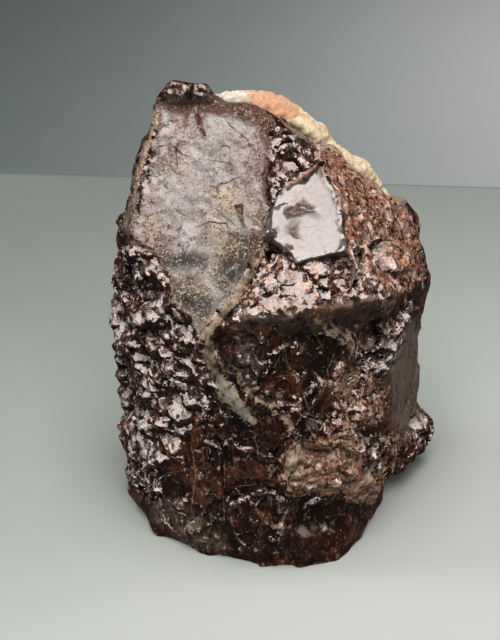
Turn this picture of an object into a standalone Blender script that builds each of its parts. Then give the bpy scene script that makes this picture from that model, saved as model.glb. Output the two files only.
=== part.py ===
"""A standing hand specimen of samarskite: one broken mass of glassy red-brown mineral, with a thin rind
of pale weathered feldspar left on its upper back.

Metres, +Z up. The origin is under the middle of the piece, on the plane that it stands on, and the
satin break faces -Y. Run with: blender --background --python part.py
"""

from math import radians

import bmesh
import bpy
from mathutils import Matrix, Vector, noise

MM = 0.001

STOCK_BELOW_BASE = 4.0  # how far the blocks run on under the base before it is cut flat, mm

# The mass, as overlapping blocks between natural breaks. Each block is the convex solid through its
# named corners, in mm: x to the right, y to the back, z up.
LEFT_BLOCK = {
    "satin_top_left": (-17.6, 1.5, 70.4),
    "satin_top_right": (-0.4, 4.0, 69.0),
    "satin_right_low": (-1.6, -8.4, 52.3),
    "vee": (-10.1, -18.5, 41.1),
    "satin_left_mid": (-20.9, -5.0, 62.0),
    "satin_left_low": (-21.8, -11.4, 54.2),
    "left_edge_high": (-23.2, -4.0, 51.5),
    "left_bulge": (-25.0, -4.5, 40.0),
    "left_low": (-24.4, -1.0, 19.0),
    "left_foot": (-24.2, 0.0, -STOCK_BELOW_BASE),
    "front_left_foot": (-18.6, -12.2, -STOCK_BELOW_BASE),
    "front_foot": (-2.5, -20.4, -STOCK_BELOW_BASE),
    "front_foot_right": (7.0, -19.6, -STOCK_BELOW_BASE),
    "front_foot_high": (5.0, -21.4, 5.0),
    "ridge_high": (-7.2, -20.0, 31.1),
    "ridge_mid": (-3.0, -21.5, 25.0),
    "ridge_low": (2.0, -22.3, 16.0),
    "back_top_left": (-17.5, 9.5, 65.0),
    "back_top_mid": (-6.0, 11.0, 63.0),
    "back_left_mid": (-22.5, 12.0, 38.0),
    "back_left_low": (-20.0, 15.5, 12.0),
    "back_left_foot": (-17.5, 14.0, -STOCK_BELOW_BASE),
    "back_foot": (2.0, 18.0, -STOCK_BELOW_BASE),
    "back_mid": (0.0, 20.0, 30.0),
}
UPPER_RIGHT_BLOCK = {
    "ledge_left": (-5.4, -21.4, 45.8),
    "ledge_mid": (3.9, -22.0, 47.0),
    "ledge_right": (10.6, -19.2, 46.8),
    "ledge_turn": (18.8, -11.0, 42.6),
    "ledge_end": (22.9, -1.0, 41.8),
    "ridge_foot": (-9.0, -19.4, 41.6),
    "ridge_top": (-1.0, -10.8, 55.2),
    "mirror_low_left": (2.6, -16.5, 53.4),
    "mirror_low_right": (10.6, -14.8, 53.9),
    "mirror_high_right": (9.4, -4.5, 59.6),
    "mirror_high": (8.0, -0.5, 61.9),
    "peak_right": (-1.6, 5.0, 69.2),
    "shoulder_1": (9.1, 7.0, 60.4),
    "shoulder_2": (14.8, 8.0, 54.6),
    "shoulder_3": (18.1, 8.5, 51.0),
    "shoulder_4": (23.8, 9.0, 47.6),
    "right_high": (24.0, 9.5, 40.0),
    "under_ledge_left": (-2.0, -17.0, 38.0),
    "under_ledge_right": (14.0, -10.0, 36.0),
    "under_right": (24.2, 6.0, 33.0),
    "back_high": (6.0, 16.0, 52.0),
    "back_right": (20.0, 16.5, 42.0),
    "back_under": (8.0, 18.5, 34.0),
}
LOWER_RIGHT_BLOCK = {
    "ridge_high": (-7.0, -19.0, 40.0),
    "under_ledge_left": (-4.5, -19.6, 43.5),
    "under_ledge_mid": (4.0, -19.4, 44.0),
    "under_ledge_right": (10.0, -16.2, 44.0),
    "under_ledge_turn": (17.0, -9.0, 42.0),
    "ridge_mid": (-3.2, -21.6, 26.0),
    "ridge_low": (2.5, -22.4, 16.0),
    "front_edge": (4.4, -21.6, 8.0),
    "front_foot": (4.8, -20.6, -STOCK_BELOW_BASE),
    "front_right_foot": (11.2, -19.0, -STOCK_BELOW_BASE),
    "right_front_foot": (13.6, -13.2, -STOCK_BELOW_BASE),
    "right_foot": (17.8, -2.0, -STOCK_BELOW_BASE),
    "brow_front": (11.5, -17.0, 16.5),
    "brow_right": (18.4, -8.6, 12.0),
    "side_edge_low": (18.2, -9.5, 30.5),
    "side_edge_high": (23.0, -1.5, 40.5),
    "right_high": (24.4, 7.0, 36.0),
    "right_mid": (24.6, 8.0, 22.0),
    "right_low": (24.2, 9.0, 8.0),
    "right_back_foot": (20.5, 9.0, -STOCK_BELOW_BASE),
    "back_right_foot": (15.0, 16.0, -STOCK_BELOW_BASE),
    "back_right_mid": (20.5, 17.0, 24.0),
    "back_mid": (6.0, 20.0, 22.0),
    "back_foot": (2.0, 18.5, -STOCK_BELOW_BASE),
}
RIGHT_LUMP = {
    "top": (24.0, 5.5, 15.5),
    "outer_high": (27.2, 8.0, 9.5),
    "outer_low": (27.5, 8.5, 4.0),
    "under_right": (25.6, 8.0, 2.2),
    "under_front": (20.8, 1.0, 2.4),
    "front_low": (20.8, -2.4, 4.6),
    "front_high": (22.0, -1.0, 12.0),
    "in_high": (14.0, 7.0, 15.5),
    "in_low": (13.0, 5.0, 3.0),
    "in_back": (15.0, 13.0, 8.0),
    "back_high": (21.0, 13.4, 12.0),
    "back_low": (20.4, 13.8, 4.6),
}
FOOT_LUMP = {
    "outer_high": (17.2, -5.8, 3.8),
    "outer_low": (16.3, -7.4, -STOCK_BELOW_BASE),
    "front_high": (13.6, -13.4, 2.8),
    "front_low": (14.2, -12.6, -STOCK_BELOW_BASE),
    "in_front": (8.0, -12.0, 4.0),
    "in_back": (9.0, -2.0, -STOCK_BELOW_BASE),
    "back": (16.0, -1.0, 3.0),
}
TOP_LUMP = {
    "peak": (-15.2, 4.2, 73.6),
    "left_high": (-17.6, 2.8, 72.8),
    "left_low": (-18.7, 2.2, 70.4),
    "front_left": (-17.6, 1.0, 70.6),
    "front_right": (-9.6, 2.4, 70.4),
    "right": (-8.4, 4.4, 71.8),
    "second_peak": (-11.4, 4.0, 73.5),
    "back_left": (-16.4, 8.0, 66.0),
    "back_right": (-8.6, 9.6, 65.0),
    "root": (-12.5, 5.0, 62.0),
}
BACK_BLOCK = {
    "high_left": (-12.0, 9.5, 60.0),
    "high_right": (2.0, 10.5, 62.0),
    "right_high": (8.0, 15.6, 52.0),
    "right_mid": (14.0, 17.6, 38.0),
    "mid": (4.0, 20.6, 32.0),
    "left_mid": (-10.0, 18.4, 34.0),
    "low_right": (13.0, 18.4, 12.0),
    "low_left": (-6.0, 18.6, 10.0),
    "foot_right": (10.0, 17.4, -STOCK_BELOW_BASE),
    "foot_left": (-4.0, 16.4, -STOCK_BELOW_BASE),
    "in_high": (-4.0, 2.0, 54.0),
    "in_right": (10.0, 6.0, 44.0),
    "in_low": (2.0, 4.0, -STOCK_BELOW_BASE),
}
CORE = {
    "low_front_left": (-8.0, -10.0, 18.0),
    "low_front_right": (13.0, -6.0, 20.0),
    "low_back_left": (-8.0, 12.0, 20.0),
    "low_back_right": (19.0, 13.0, 22.0),
    "high_front_left": (-6.0, -10.0, 46.0),
    "high_front_right": (12.0, -7.0, 43.0),
    "high_back_left": (-4.0, 11.0, 52.0),
    "high_back_right": (19.0, 12.0, 41.0),
}
BLOCKS = {
    "left_block": LEFT_BLOCK,
    "upper_right_block": UPPER_RIGHT_BLOCK,
    "lower_right_block": LOWER_RIGHT_BLOCK,
    "right_lump": RIGHT_LUMP,
    "foot_lump": FOOT_LUMP,
    "top_lump": TOP_LUMP,
    "back_block": BACK_BLOCK,
    "core": CORE,
}

# Shell-shaped hollows: where each is, its three half widths, and its turn about x, y and z.
HOLLOWS = {
    "hollow_by_mirror": ((2.2, -4.2, 63.8), (3.2, 3.4, 8.2), (-33, 14, 0)),
    "satin_scoop": ((-6.0, -17.0, 53.8), (4.8, 4.4, 8.6), (-36, 10, 14)),
    "dark_pocket": ((-25.6, -11.2, 45.6), (5.0, 5.4, 6.4), (0, 0, 30)),
    "brow_hollow": ((8.4, -23.0, 8.2), (6.6, 4.6, 4.0), (0, 10, 8)),
    "side_hollow": ((26.0, -9.6, 34.6), (6.2, 6.4, 7.5), (20, 10, 0)),
    "front_scoop": ((9.0, -27.0, 33.0), (8.6, 8.4, 12.0), (0, 12, 0)),
    "back_hollow": ((-9.0, 22.5, 36.0), (9.0, 6.0, 14.0), (0, 12, 0)),
    "back_low_hollow": ((13.0, 22.0, 10.0), (8.0, 6.0, 9.0), (0, -20, 0)),
}

# Breaks that stayed nearly flat: centre and reach of each, mm.
CALM_BREAKS = {
    "satin_high": ((-10.0, -1.5, 66.0), 10.0),
    "satin_mid": ((-10.5, -7.0, 58.0), 11.0),
    "satin_low": ((-11.0, -14.0, 48.0), 7.5),
    "mirror": ((6.0, -10.0, 57.0), 9.0),
    "side": ((23.5, -0.5, 24.0), 9.0),
    "front_low": ((-8.0, -17.5, 12.0), 9.0),
    "under_ledge": ((8.0, -18.0, 40.0), 6.0),
    "rind_seat_high": ((-1.0, 13.0, 60.0), 12.0),
    "rind_seat_low": ((13.0, 16.0, 46.0), 13.0),
}

# The shell-shaped chips that cover the other breaks: width, steepest tilt and hollowness of one
# chip, and the slow swell of the surface under them.
CHIP_WIDTH = 5.6
CHIP_TILT = 0.22
CHIP_HOLLOW = 0.5
CHIP_MEAN = 0.28
SEAM_ROUNDS = 1
SWELL_WIDTH = 15.0
SWELL_DEPTH = 0.45
CALM_SHARE = 0.12  # of the chips' depth that a nearly flat break keeps
RIND_LUMP_WIDTH = 4.4
RIND_LUMP_DEPTH = 0.95

# The skin that the chips are cut in: the grid that it is laid on, and how many triangles are left
# after it is thinned down.
MASS_CELL = 0.9  # mm
MASS_TRIANGLES = 7200
RIND_CELL = 0.9  # mm
RIND_TRIANGLES = 2200
GAP = 0.8  # what the mass is grown by to cut the rind; the re-laid skin takes up to 0.5 of it back, mm

# The rind, as slabs through their named corners, mm. What lies inside the mass is cut away.
RIND_HIGH = {
    "rim_1": (-10.6, 7.4, 70.3),
    "rim_2": (-5.4, 7.8, 71.0),
    "rim_3": (0.8, 8.8, 68.8),
    "rim_4": (5.4, 9.6, 64.6),
    "rim_5": (8.6, 10.3, 62.3),
    "back_1": (-12.0, 13.5, 62.0),
    "back_2": (-8.0, 17.0, 55.0),
    "back_3": (5.0, 19.0, 53.0),
    "back_4": (9.5, 15.0, 58.0),
    "in_1": (-9.0, 3.5, 66.0),
    "in_2": (6.0, 5.0, 58.0),
    "in_3": (-6.0, 11.0, 54.0),
    "in_4": (4.0, 13.0, 52.0),
}
RIND_LOW = {
    "rim_6": (9.4, 10.4, 59.8),
    "rim_7": (12.6, 10.8, 57.9),
    "rim_8": (15.4, 11.0, 55.8),
    "rim_9": (18.6, 11.2, 51.6),
    "rim_end": (23.2, 12.4, 45.0),
    "back_5": (23.0, 19.5, 38.5),
    "back_6": (14.0, 22.8, 37.0),
    "back_7": (1.0, 22.4, 44.0),
    "back_8": (3.0, 18.5, 56.0),
    "in_5": (6.0, 5.0, 58.0),
    "in_6": (16.0, 8.0, 45.0),
    "in_7": (6.0, 14.0, 40.0),
    "in_8": (18.0, 14.0, 36.0),
}

# Colours are linear red, green and blue.
MASS_COLOUR = (0.060, 0.018, 0.010)
RIND_COLOUR = (0.72, 0.50, 0.24)


def clear_scene():
    for obj in list(bpy.data.objects):
        bpy.data.objects.remove(obj, do_unlink=True)


def new_collection(name):
    collection = bpy.data.collections.new(name)
    bpy.context.scene.collection.children.link(collection)
    return collection


def new_material(name, colour, roughness):
    material = bpy.data.materials.new(name)
    material.use_nodes = True
    shader = material.node_tree.nodes["Principled BSDF"]
    shader.inputs["Base Color"].default_value = (*colour, 1.0)
    shader.inputs["Roughness"].default_value = roughness
    shader.inputs["Metallic"].default_value = 0.0
    return material


def object_from_bmesh(name, bm, collection):
    mesh = bpy.data.meshes.new(name)
    bm.to_mesh(mesh)
    bm.free()
    obj = bpy.data.objects.new(name, mesh)
    collection.objects.link(obj)
    return obj


def hide(obj):
    """Marks a block or a cutter as a helper."""
    obj.hide_render = True
    obj.display_type = "WIRE"
    return obj


def convex_block(name, corners, collection):
    """The convex solid through the named corners."""
    bm = bmesh.new()
    for corner in corners.values():
        bm.verts.new(Vector(corner) * MM)
    hull = bmesh.ops.convex_hull(bm, input=bm.verts)
    unused = [v for v in hull["geom_interior"] if isinstance(v, bmesh.types.BMVert)]
    bmesh.ops.delete(bm, geom=unused, context="VERTS")
    bmesh.ops.recalc_face_normals(bm, faces=bm.faces)
    return object_from_bmesh(name, bm, collection)


def ellipsoid(name, centre, half_widths, turn, collection):
    """A round cutter for one hollow."""
    bm = bmesh.new()
    bmesh.ops.create_icosphere(bm, subdivisions=2, radius=1.0)
    scale = Matrix.Diagonal((*(w * MM for w in half_widths), 1.0))
    turned = Matrix.Rotation(radians(turn[2]), 4, "Z") @ Matrix.Rotation(radians(turn[1]), 4, "Y")
    turned = turned @ Matrix.Rotation(radians(turn[0]), 4, "X")
    bm.transform(Matrix.Translation(Vector(centre) * MM) @ turned @ scale)
    return hide(object_from_bmesh(name, bm, collection))


def add_boolean(obj, other, operation):
    modifier = obj.modifiers.new(f"{operation.lower()}_{other.name}", "BOOLEAN")
    modifier.operation = operation
    modifier.solver = "EXACT"
    modifier.object = other


def add_skin(obj, cell):
    """Re-lays the surface on an even grid. cell is in mm."""
    modifier = obj.modifiers.new("skin", "REMESH")
    modifier.mode = "VOXEL"
    modifier.voxel_size = cell * MM


def apply_modifiers(obj):
    """Turns the evaluated shape into the object's own mesh."""
    graph = bpy.context.evaluated_depsgraph_get()
    mesh = bpy.data.meshes.new_from_object(obj.evaluated_get(graph))
    obj.modifiers.clear()
    obj.data = mesh


def thin_down(obj, triangles):
    """Leaves about this many triangles, most of them where the surface turns."""
    modifier = obj.modifiers.new("thin_down", "DECIMATE")
    obj.data.calc_loop_triangles()
    modifier.ratio = triangles / len(obj.data.loop_triangles)
    apply_modifiers(obj)


def smooth_step(low, high, value):
    t = min(1.0, max(0.0, (value - low) / (high - low)))
    return t * t * (3.0 - 2.0 * t)


def roughness_at(point):
    """1 on the chipped breaks, down to CALM_SHARE in the middle of a nearly flat one. point is in mm."""
    calm = 0.0
    for centre, reach in CALM_BREAKS.values():
        calm = max(calm, 1.0 - smooth_step(0.6, 1.0, (point - Vector(centre)).length / reach))
    return 1.0 - (1.0 - CALM_SHARE) * calm


def chip_height(point):
    """Height of the surface in its chip: a hollow with a tilt of its own, that meets its neighbours
    in sharp ridges."""
    _, centres = noise.voronoi(point / CHIP_WIDTH)
    heights = []
    for centre in centres:
        reach = point - centre * CHIP_WIDTH
        tilt = (noise.cell_vector(centre * 7.3) - Vector((0.5, 0.5, 0.5))) * 2.0 * CHIP_TILT
        heights.append(tilt.dot(reach) + CHIP_HOLLOW * reach.length_squared / CHIP_WIDTH**1.5)
    return min(heights) - CHIP_MEAN


def weather_mass(bm):
    """Rounds the seams between the blocks, then chips and swells the surface."""
    for _ in range(SEAM_ROUNDS):
        bmesh.ops.smooth_vert(
            bm, verts=bm.verts, factor=0.5, use_axis_x=True, use_axis_y=True, use_axis_z=True
        )
    bm.normal_update()
    moves = []
    for v in bm.verts:
        point = v.co / MM
        swell = noise.noise(point / SWELL_WIDTH) * SWELL_DEPTH
        moves.append(v.normal * (roughness_at(point) * (chip_height(point) + swell)) * MM)
    for v, move in zip(bm.verts, moves):
        v.co += move


def weather_rind(bm):
    """Makes the rind's surface lumpy."""
    bm.normal_update()
    moves = []
    for v in bm.verts:
        distances, _ = noise.voronoi(v.co / MM / RIND_LUMP_WIDTH)
        moves.append(v.normal * (0.5 - distances[0]) * RIND_LUMP_DEPTH * MM)
    for v, move in zip(bm.verts, moves):
        v.co += move


def cut_base(bm):
    """Cuts the mass off flat at z = 0, where it stands."""
    geometry = bm.verts[:] + bm.edges[:] + bm.faces[:]
    cut = bmesh.ops.bisect_plane(
        bm, geom=geometry, dist=0.01 * MM, plane_co=(0, 0, 0), plane_no=(0, 0, 1), clear_inner=True
    )
    for v in bm.verts:
        v.co.z = max(v.co.z, 0.0)
    rim = [e for e in cut["geom_cut"] if isinstance(e, bmesh.types.BMEdge)]
    bmesh.ops.contextual_create(bm, geom=rim)
    bmesh.ops.triangulate(bm, faces=[f for f in bm.faces if len(f.verts) > 4])
    bmesh.ops.recalc_face_normals(bm, faces=bm.faces)


def edit(obj, *steps):
    """Runs the given steps on the object's mesh."""
    bm = bmesh.new()
    bm.from_mesh(obj.data)
    for step in steps:
        step(bm)
    bm.to_mesh(obj.data)
    bm.free()


def keep_largest_piece(bm):
    """Drops the loose crumbs that a cut leaves."""
    unseen = set(bm.verts)
    pieces = []
    while unseen:
        piece = {unseen.pop()}
        edge_of_piece = set(piece)
        while edge_of_piece:
            v = edge_of_piece.pop()
            near = {e.other_vert(v) for e in v.link_edges} & unseen
            unseen -= near
            piece |= near
            edge_of_piece |= near
        pieces.append(piece)
    largest = max(pieces, key=len)
    bmesh.ops.delete(bm, geom=[v for v in bm.verts if v not in largest], context="VERTS")


def make_mass(helpers):
    """The glassy mass: blocks joined, hollows cut, the surface chipped, the base cut flat."""
    blocks = [convex_block(name, corners, helpers) for name, corners in BLOCKS.items()]
    mass = blocks[0]
    for block in blocks[1:]:
        add_boolean(mass, hide(block), "UNION")
    for name, (centre, half_widths, turn) in HOLLOWS.items():
        add_boolean(mass, ellipsoid(name, centre, half_widths, turn, helpers), "DIFFERENCE")
    add_skin(mass, MASS_CELL)
    apply_modifiers(mass)
    edit(mass, weather_mass)
    thin_down(mass, MASS_TRIANGLES)
    edit(mass, cut_base)
    mass.name = "samarskite_mass"
    mass.data.materials.append(new_material("glassy_samarskite", MASS_COLOUR, 0.15))
    return mass


def make_rind(mass, helpers):
    """The pale rind: two slabs joined and made lumpy, with the mass, grown by the gap, cut out."""
    rind = convex_block("pale_rind", RIND_HIGH, helpers)
    add_boolean(rind, hide(convex_block("rind_low", RIND_LOW, helpers)), "UNION")
    add_skin(rind, RIND_CELL)
    apply_modifiers(rind)
    edit(rind, weather_rind)
    seat = hide(bpy.data.objects.new("rind_seat", mass.data.copy()))
    helpers.objects.link(seat)
    swell = seat.modifiers.new("gap", "DISPLACE")
    swell.strength = GAP * MM
    swell.mid_level = 0.0
    add_boolean(rind, seat, "DIFFERENCE")
    rind.modifiers[-1].use_self = True
    add_skin(rind, RIND_CELL)
    apply_modifiers(rind)
    edit(rind, keep_largest_piece)
    thin_down(rind, RIND_TRIANGLES)
    rind.data.materials.clear()
    rind.data.materials.append(new_material("weathered_feldspar", RIND_COLOUR, 0.85))
    return rind


def main():
    clear_scene()
    specimen = new_collection("samarskite_specimen")
    helpers = new_collection("helpers")
    mass = make_mass(helpers)
    rind = make_rind(mass, helpers)
    for piece in (mass, rind):
        helpers.objects.unlink(piece)
        specimen.objects.link(piece)


main()
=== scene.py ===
"""Samarskite specimen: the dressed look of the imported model.

A broken mass of glassy red-brown mineral with a satin sloping break, a mirror-like facet, rough
glittering breaks and a pale crumbly rind. Everything is in metres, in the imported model's frame, with
+Z up and the satin break facing -Y.
"""

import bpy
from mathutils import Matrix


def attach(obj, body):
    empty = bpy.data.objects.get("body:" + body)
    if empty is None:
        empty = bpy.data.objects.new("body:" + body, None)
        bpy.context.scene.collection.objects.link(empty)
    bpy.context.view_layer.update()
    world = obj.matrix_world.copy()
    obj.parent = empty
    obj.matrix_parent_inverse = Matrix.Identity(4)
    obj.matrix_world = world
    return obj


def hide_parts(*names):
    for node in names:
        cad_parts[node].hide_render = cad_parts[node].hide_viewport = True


bl_info = {
    "name": "Samarskite Specimen",
    "version": (1, 0, 0),
    "blender": (4, 5, 0),
    "location": "View3D > Sidebar > Specimen",
    "description": "Dresses the packed samarskite specimen and sets its stage",
    "category": "Object",
}

from math import radians
from types import SimpleNamespace

import bmesh
import bpy
import numpy as np
from bpy.props import FloatProperty, FloatVectorProperty, IntProperty, PointerProperty
from mathutils import Vector

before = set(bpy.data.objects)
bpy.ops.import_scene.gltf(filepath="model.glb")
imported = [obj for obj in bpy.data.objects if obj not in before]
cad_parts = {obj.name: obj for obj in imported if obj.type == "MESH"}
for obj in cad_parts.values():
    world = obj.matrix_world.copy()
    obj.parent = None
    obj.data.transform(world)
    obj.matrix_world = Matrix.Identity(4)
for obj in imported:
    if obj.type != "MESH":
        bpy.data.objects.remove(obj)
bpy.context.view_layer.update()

MM = 0.001
VIEW_DOWN = radians(30.0)  # the zones below are laid out as seen from the front, this far above
GLANCE = np.array((0.0, -0.5, 0.866))  # a facet that faces this way throws the light above to the front

# All outlines and lines below are in mm: across to the right, and up in the plane that faces the
# direction 30 degrees above the front.

# The breaks, each with a relief and a finish of its own.
ZONES = {
    "peak": [(-17.8, 63.4), (-14.6, 62.9), (-9.5, 63.2), (-6.1, 63.2), (-3.6, 62.6), (-2.0, 67.0),
             (-18.5, 67.0)],
    "satin": [(-17.4, 63.2), (-14.3, 62.6), (-7.5, 62.8), (-4.0, 62.0), (-0.7, 59.8), (-0.7, 53.0),
              (-1.0, 48.6), (-0.7, 46.0), (-1.6, 41.5), (-2.7, 38.5), (-5.2, 34.1), (-7.6, 30.5),
              (-10.1, 26.3), (-12.4, 29.0), (-14.0, 31.0), (-15.4, 31.7), (-15.5, 35.5), (-16.9, 37.7),
              (-18.6, 39.8), (-21.0, 40.6), (-23.0, 42.8), (-22.0, 47.8), (-21.0, 53.0), (-19.8, 58.0)],
    "mirror": [(7.5, 51.9), (8.8, 49.4), (9.9, 46.3), (11.0, 40.1), (10.7, 38.6), (8.0, 38.2),
               (3.4, 37.4), (2.4, 39.0), (-1.4, 41.2), (-0.8, 43.6), (0.4, 47.4), (4.0, 49.9)],
    "hollow": [(-0.7, 58.2), (1.9, 58.5), (4.3, 57.2), (6.1, 55.0), (6.9, 52.9), (1.6, 48.4),
               (-0.7, 46.2), (-1.0, 48.6), (-0.8, 53.1)],
    "upper_right": [(4.6, 61.0), (11.8, 55.5), (18.7, 48.5), (24.5, 43.5), (25.0, 34.6), (18.8, 32.4),
                    (13.8, 36.2), (11.0, 38.2), (11.0, 40.3), (9.9, 46.3), (8.4, 50.6), (7.0, 53.4)],
    "sparkle_band": [(-1.4, 40.2), (2.6, 37.5), (10.7, 38.5), (14.0, 36.5), (24.5, 38.5), (24.0, 35.8),
                     (18.8, 32.4), (10.6, 31.8), (3.9, 30.3), (-6.1, 28.7), (-4.9, 33.2)],
    "ledge_under": [(-6.1, 28.7), (3.9, 30.3), (10.6, 31.8), (18.8, 32.4), (21.7, 33.7), (17.4, 29.3),
                    (8.6, 27.5), (-3.4, 26.8)],
    "ridge": [(-0.8, 41.2), (-0.1, 40.6), (-1.6, 37.6), (-3.4, 34.2), (-5.2, 31.2), (-7.6, 29.0),
              (-10.0, 25.6), (-10.8, 26.4), (-7.6, 30.8), (-4.9, 34.5), (-2.5, 38.5)],
    "front_face": [(-5.6, 27.5), (8.6, 27.8), (17.4, 29.3), (20.2, 26.7), (17.7, 20.9), (15.7, 16.5),
                   (16.3, 11.6), (5.8, 10.6), (1.9, 10.7), (-1.6, 15.4), (-4.9, 20.7)],
    "side_plane": [(23.4, 30.0), (26.0, 26.0), (26.0, 12.0), (23.2, 9.7), (21.2, 9.2), (19.6, 12.0),
                   (18.5, 16.3), (17.8, 19.6), (18.8, 24.3), (20.9, 28.2)],
    "glint_edge": [(20.7, 32.9), (23.0, 32.4), (21.7, 28.2), (20.1, 24.3), (17.6, 20.5), (14.7, 20.0),
                   (12.6, 22.6), (11.6, 25.2), (13.8, 24.5), (16.1, 25.0), (18.0, 27.7), (19.3, 30.6)],
    "left_rough": [(-27.5, 38.8), (-21.7, 40.6), (-18.4, 40.1), (-16.9, 37.7), (-15.7, 35.0),
                   (-15.8, 32.3), (-13.9, 30.8), (-11.5, 28.3), (-10.0, 25.7), (-8.8, 22.3),
                   (-8.2, 18.5), (-8.9, 16.0), (-11.9, 12.7), (-13.6, 10.2), (-14.7, 7.8),
                   (-16.9, 6.5), (-22.3, 4.4), (-27.5, 5.0)],
    "left_step": [(-27.5, 4.6), (-22.5, 4.6), (-17.6, 5.0), (-17.6, 1.2), (-20.5, 1.4), (-26.0, 1.0)],
    "vein": [(-10.9, 26.3), (-9.4, 25.7), (-8.9, 23.0), (-7.2, 20.3), (-4.9, 18.2), (-3.1, 15.1),
             (-2.2, 12.0), (-3.4, 12.3), (-5.5, 15.4), (-7.9, 18.2), (-9.9, 21.1), (-10.5, 23.8)],
    "lower_front": [(-11.9, 12.7), (-8.7, 16.0), (-4.9, 15.1), (-2.2, 10.7), (2.0, 9.1), (2.0, 2.8),
                    (2.8, 0.3), (2.9, -4.8), (4.6, -13.0), (-4.2, -13.0), (-11.4, -11.0), (-17.1, -8.0),
                    (-20.2, -1.5), (-22.4, 1.0), (-17.7, 5.0), (-14.7, 7.8)],
    "rust": [(1.9, 10.7), (5.8, 10.6), (11.3, 12.0), (16.3, 12.0), (20.4, 10.7), (21.2, 7.4),
             (19.2, 2.2), (17.9, -0.3), (12.5, 0.5), (11.6, 2.5), (5.9, 2.3), (3.1, 2.8), (1.8, 6.0)],
    "right_lump": [(23.0, 15.5), (28.5, 15.5), (28.5, 7.5), (25.0, 5.0), (20.0, 2.0), (20.0, 4.1),
                   (21.8, 8.3), (22.9, 12.3)],
}

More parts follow.
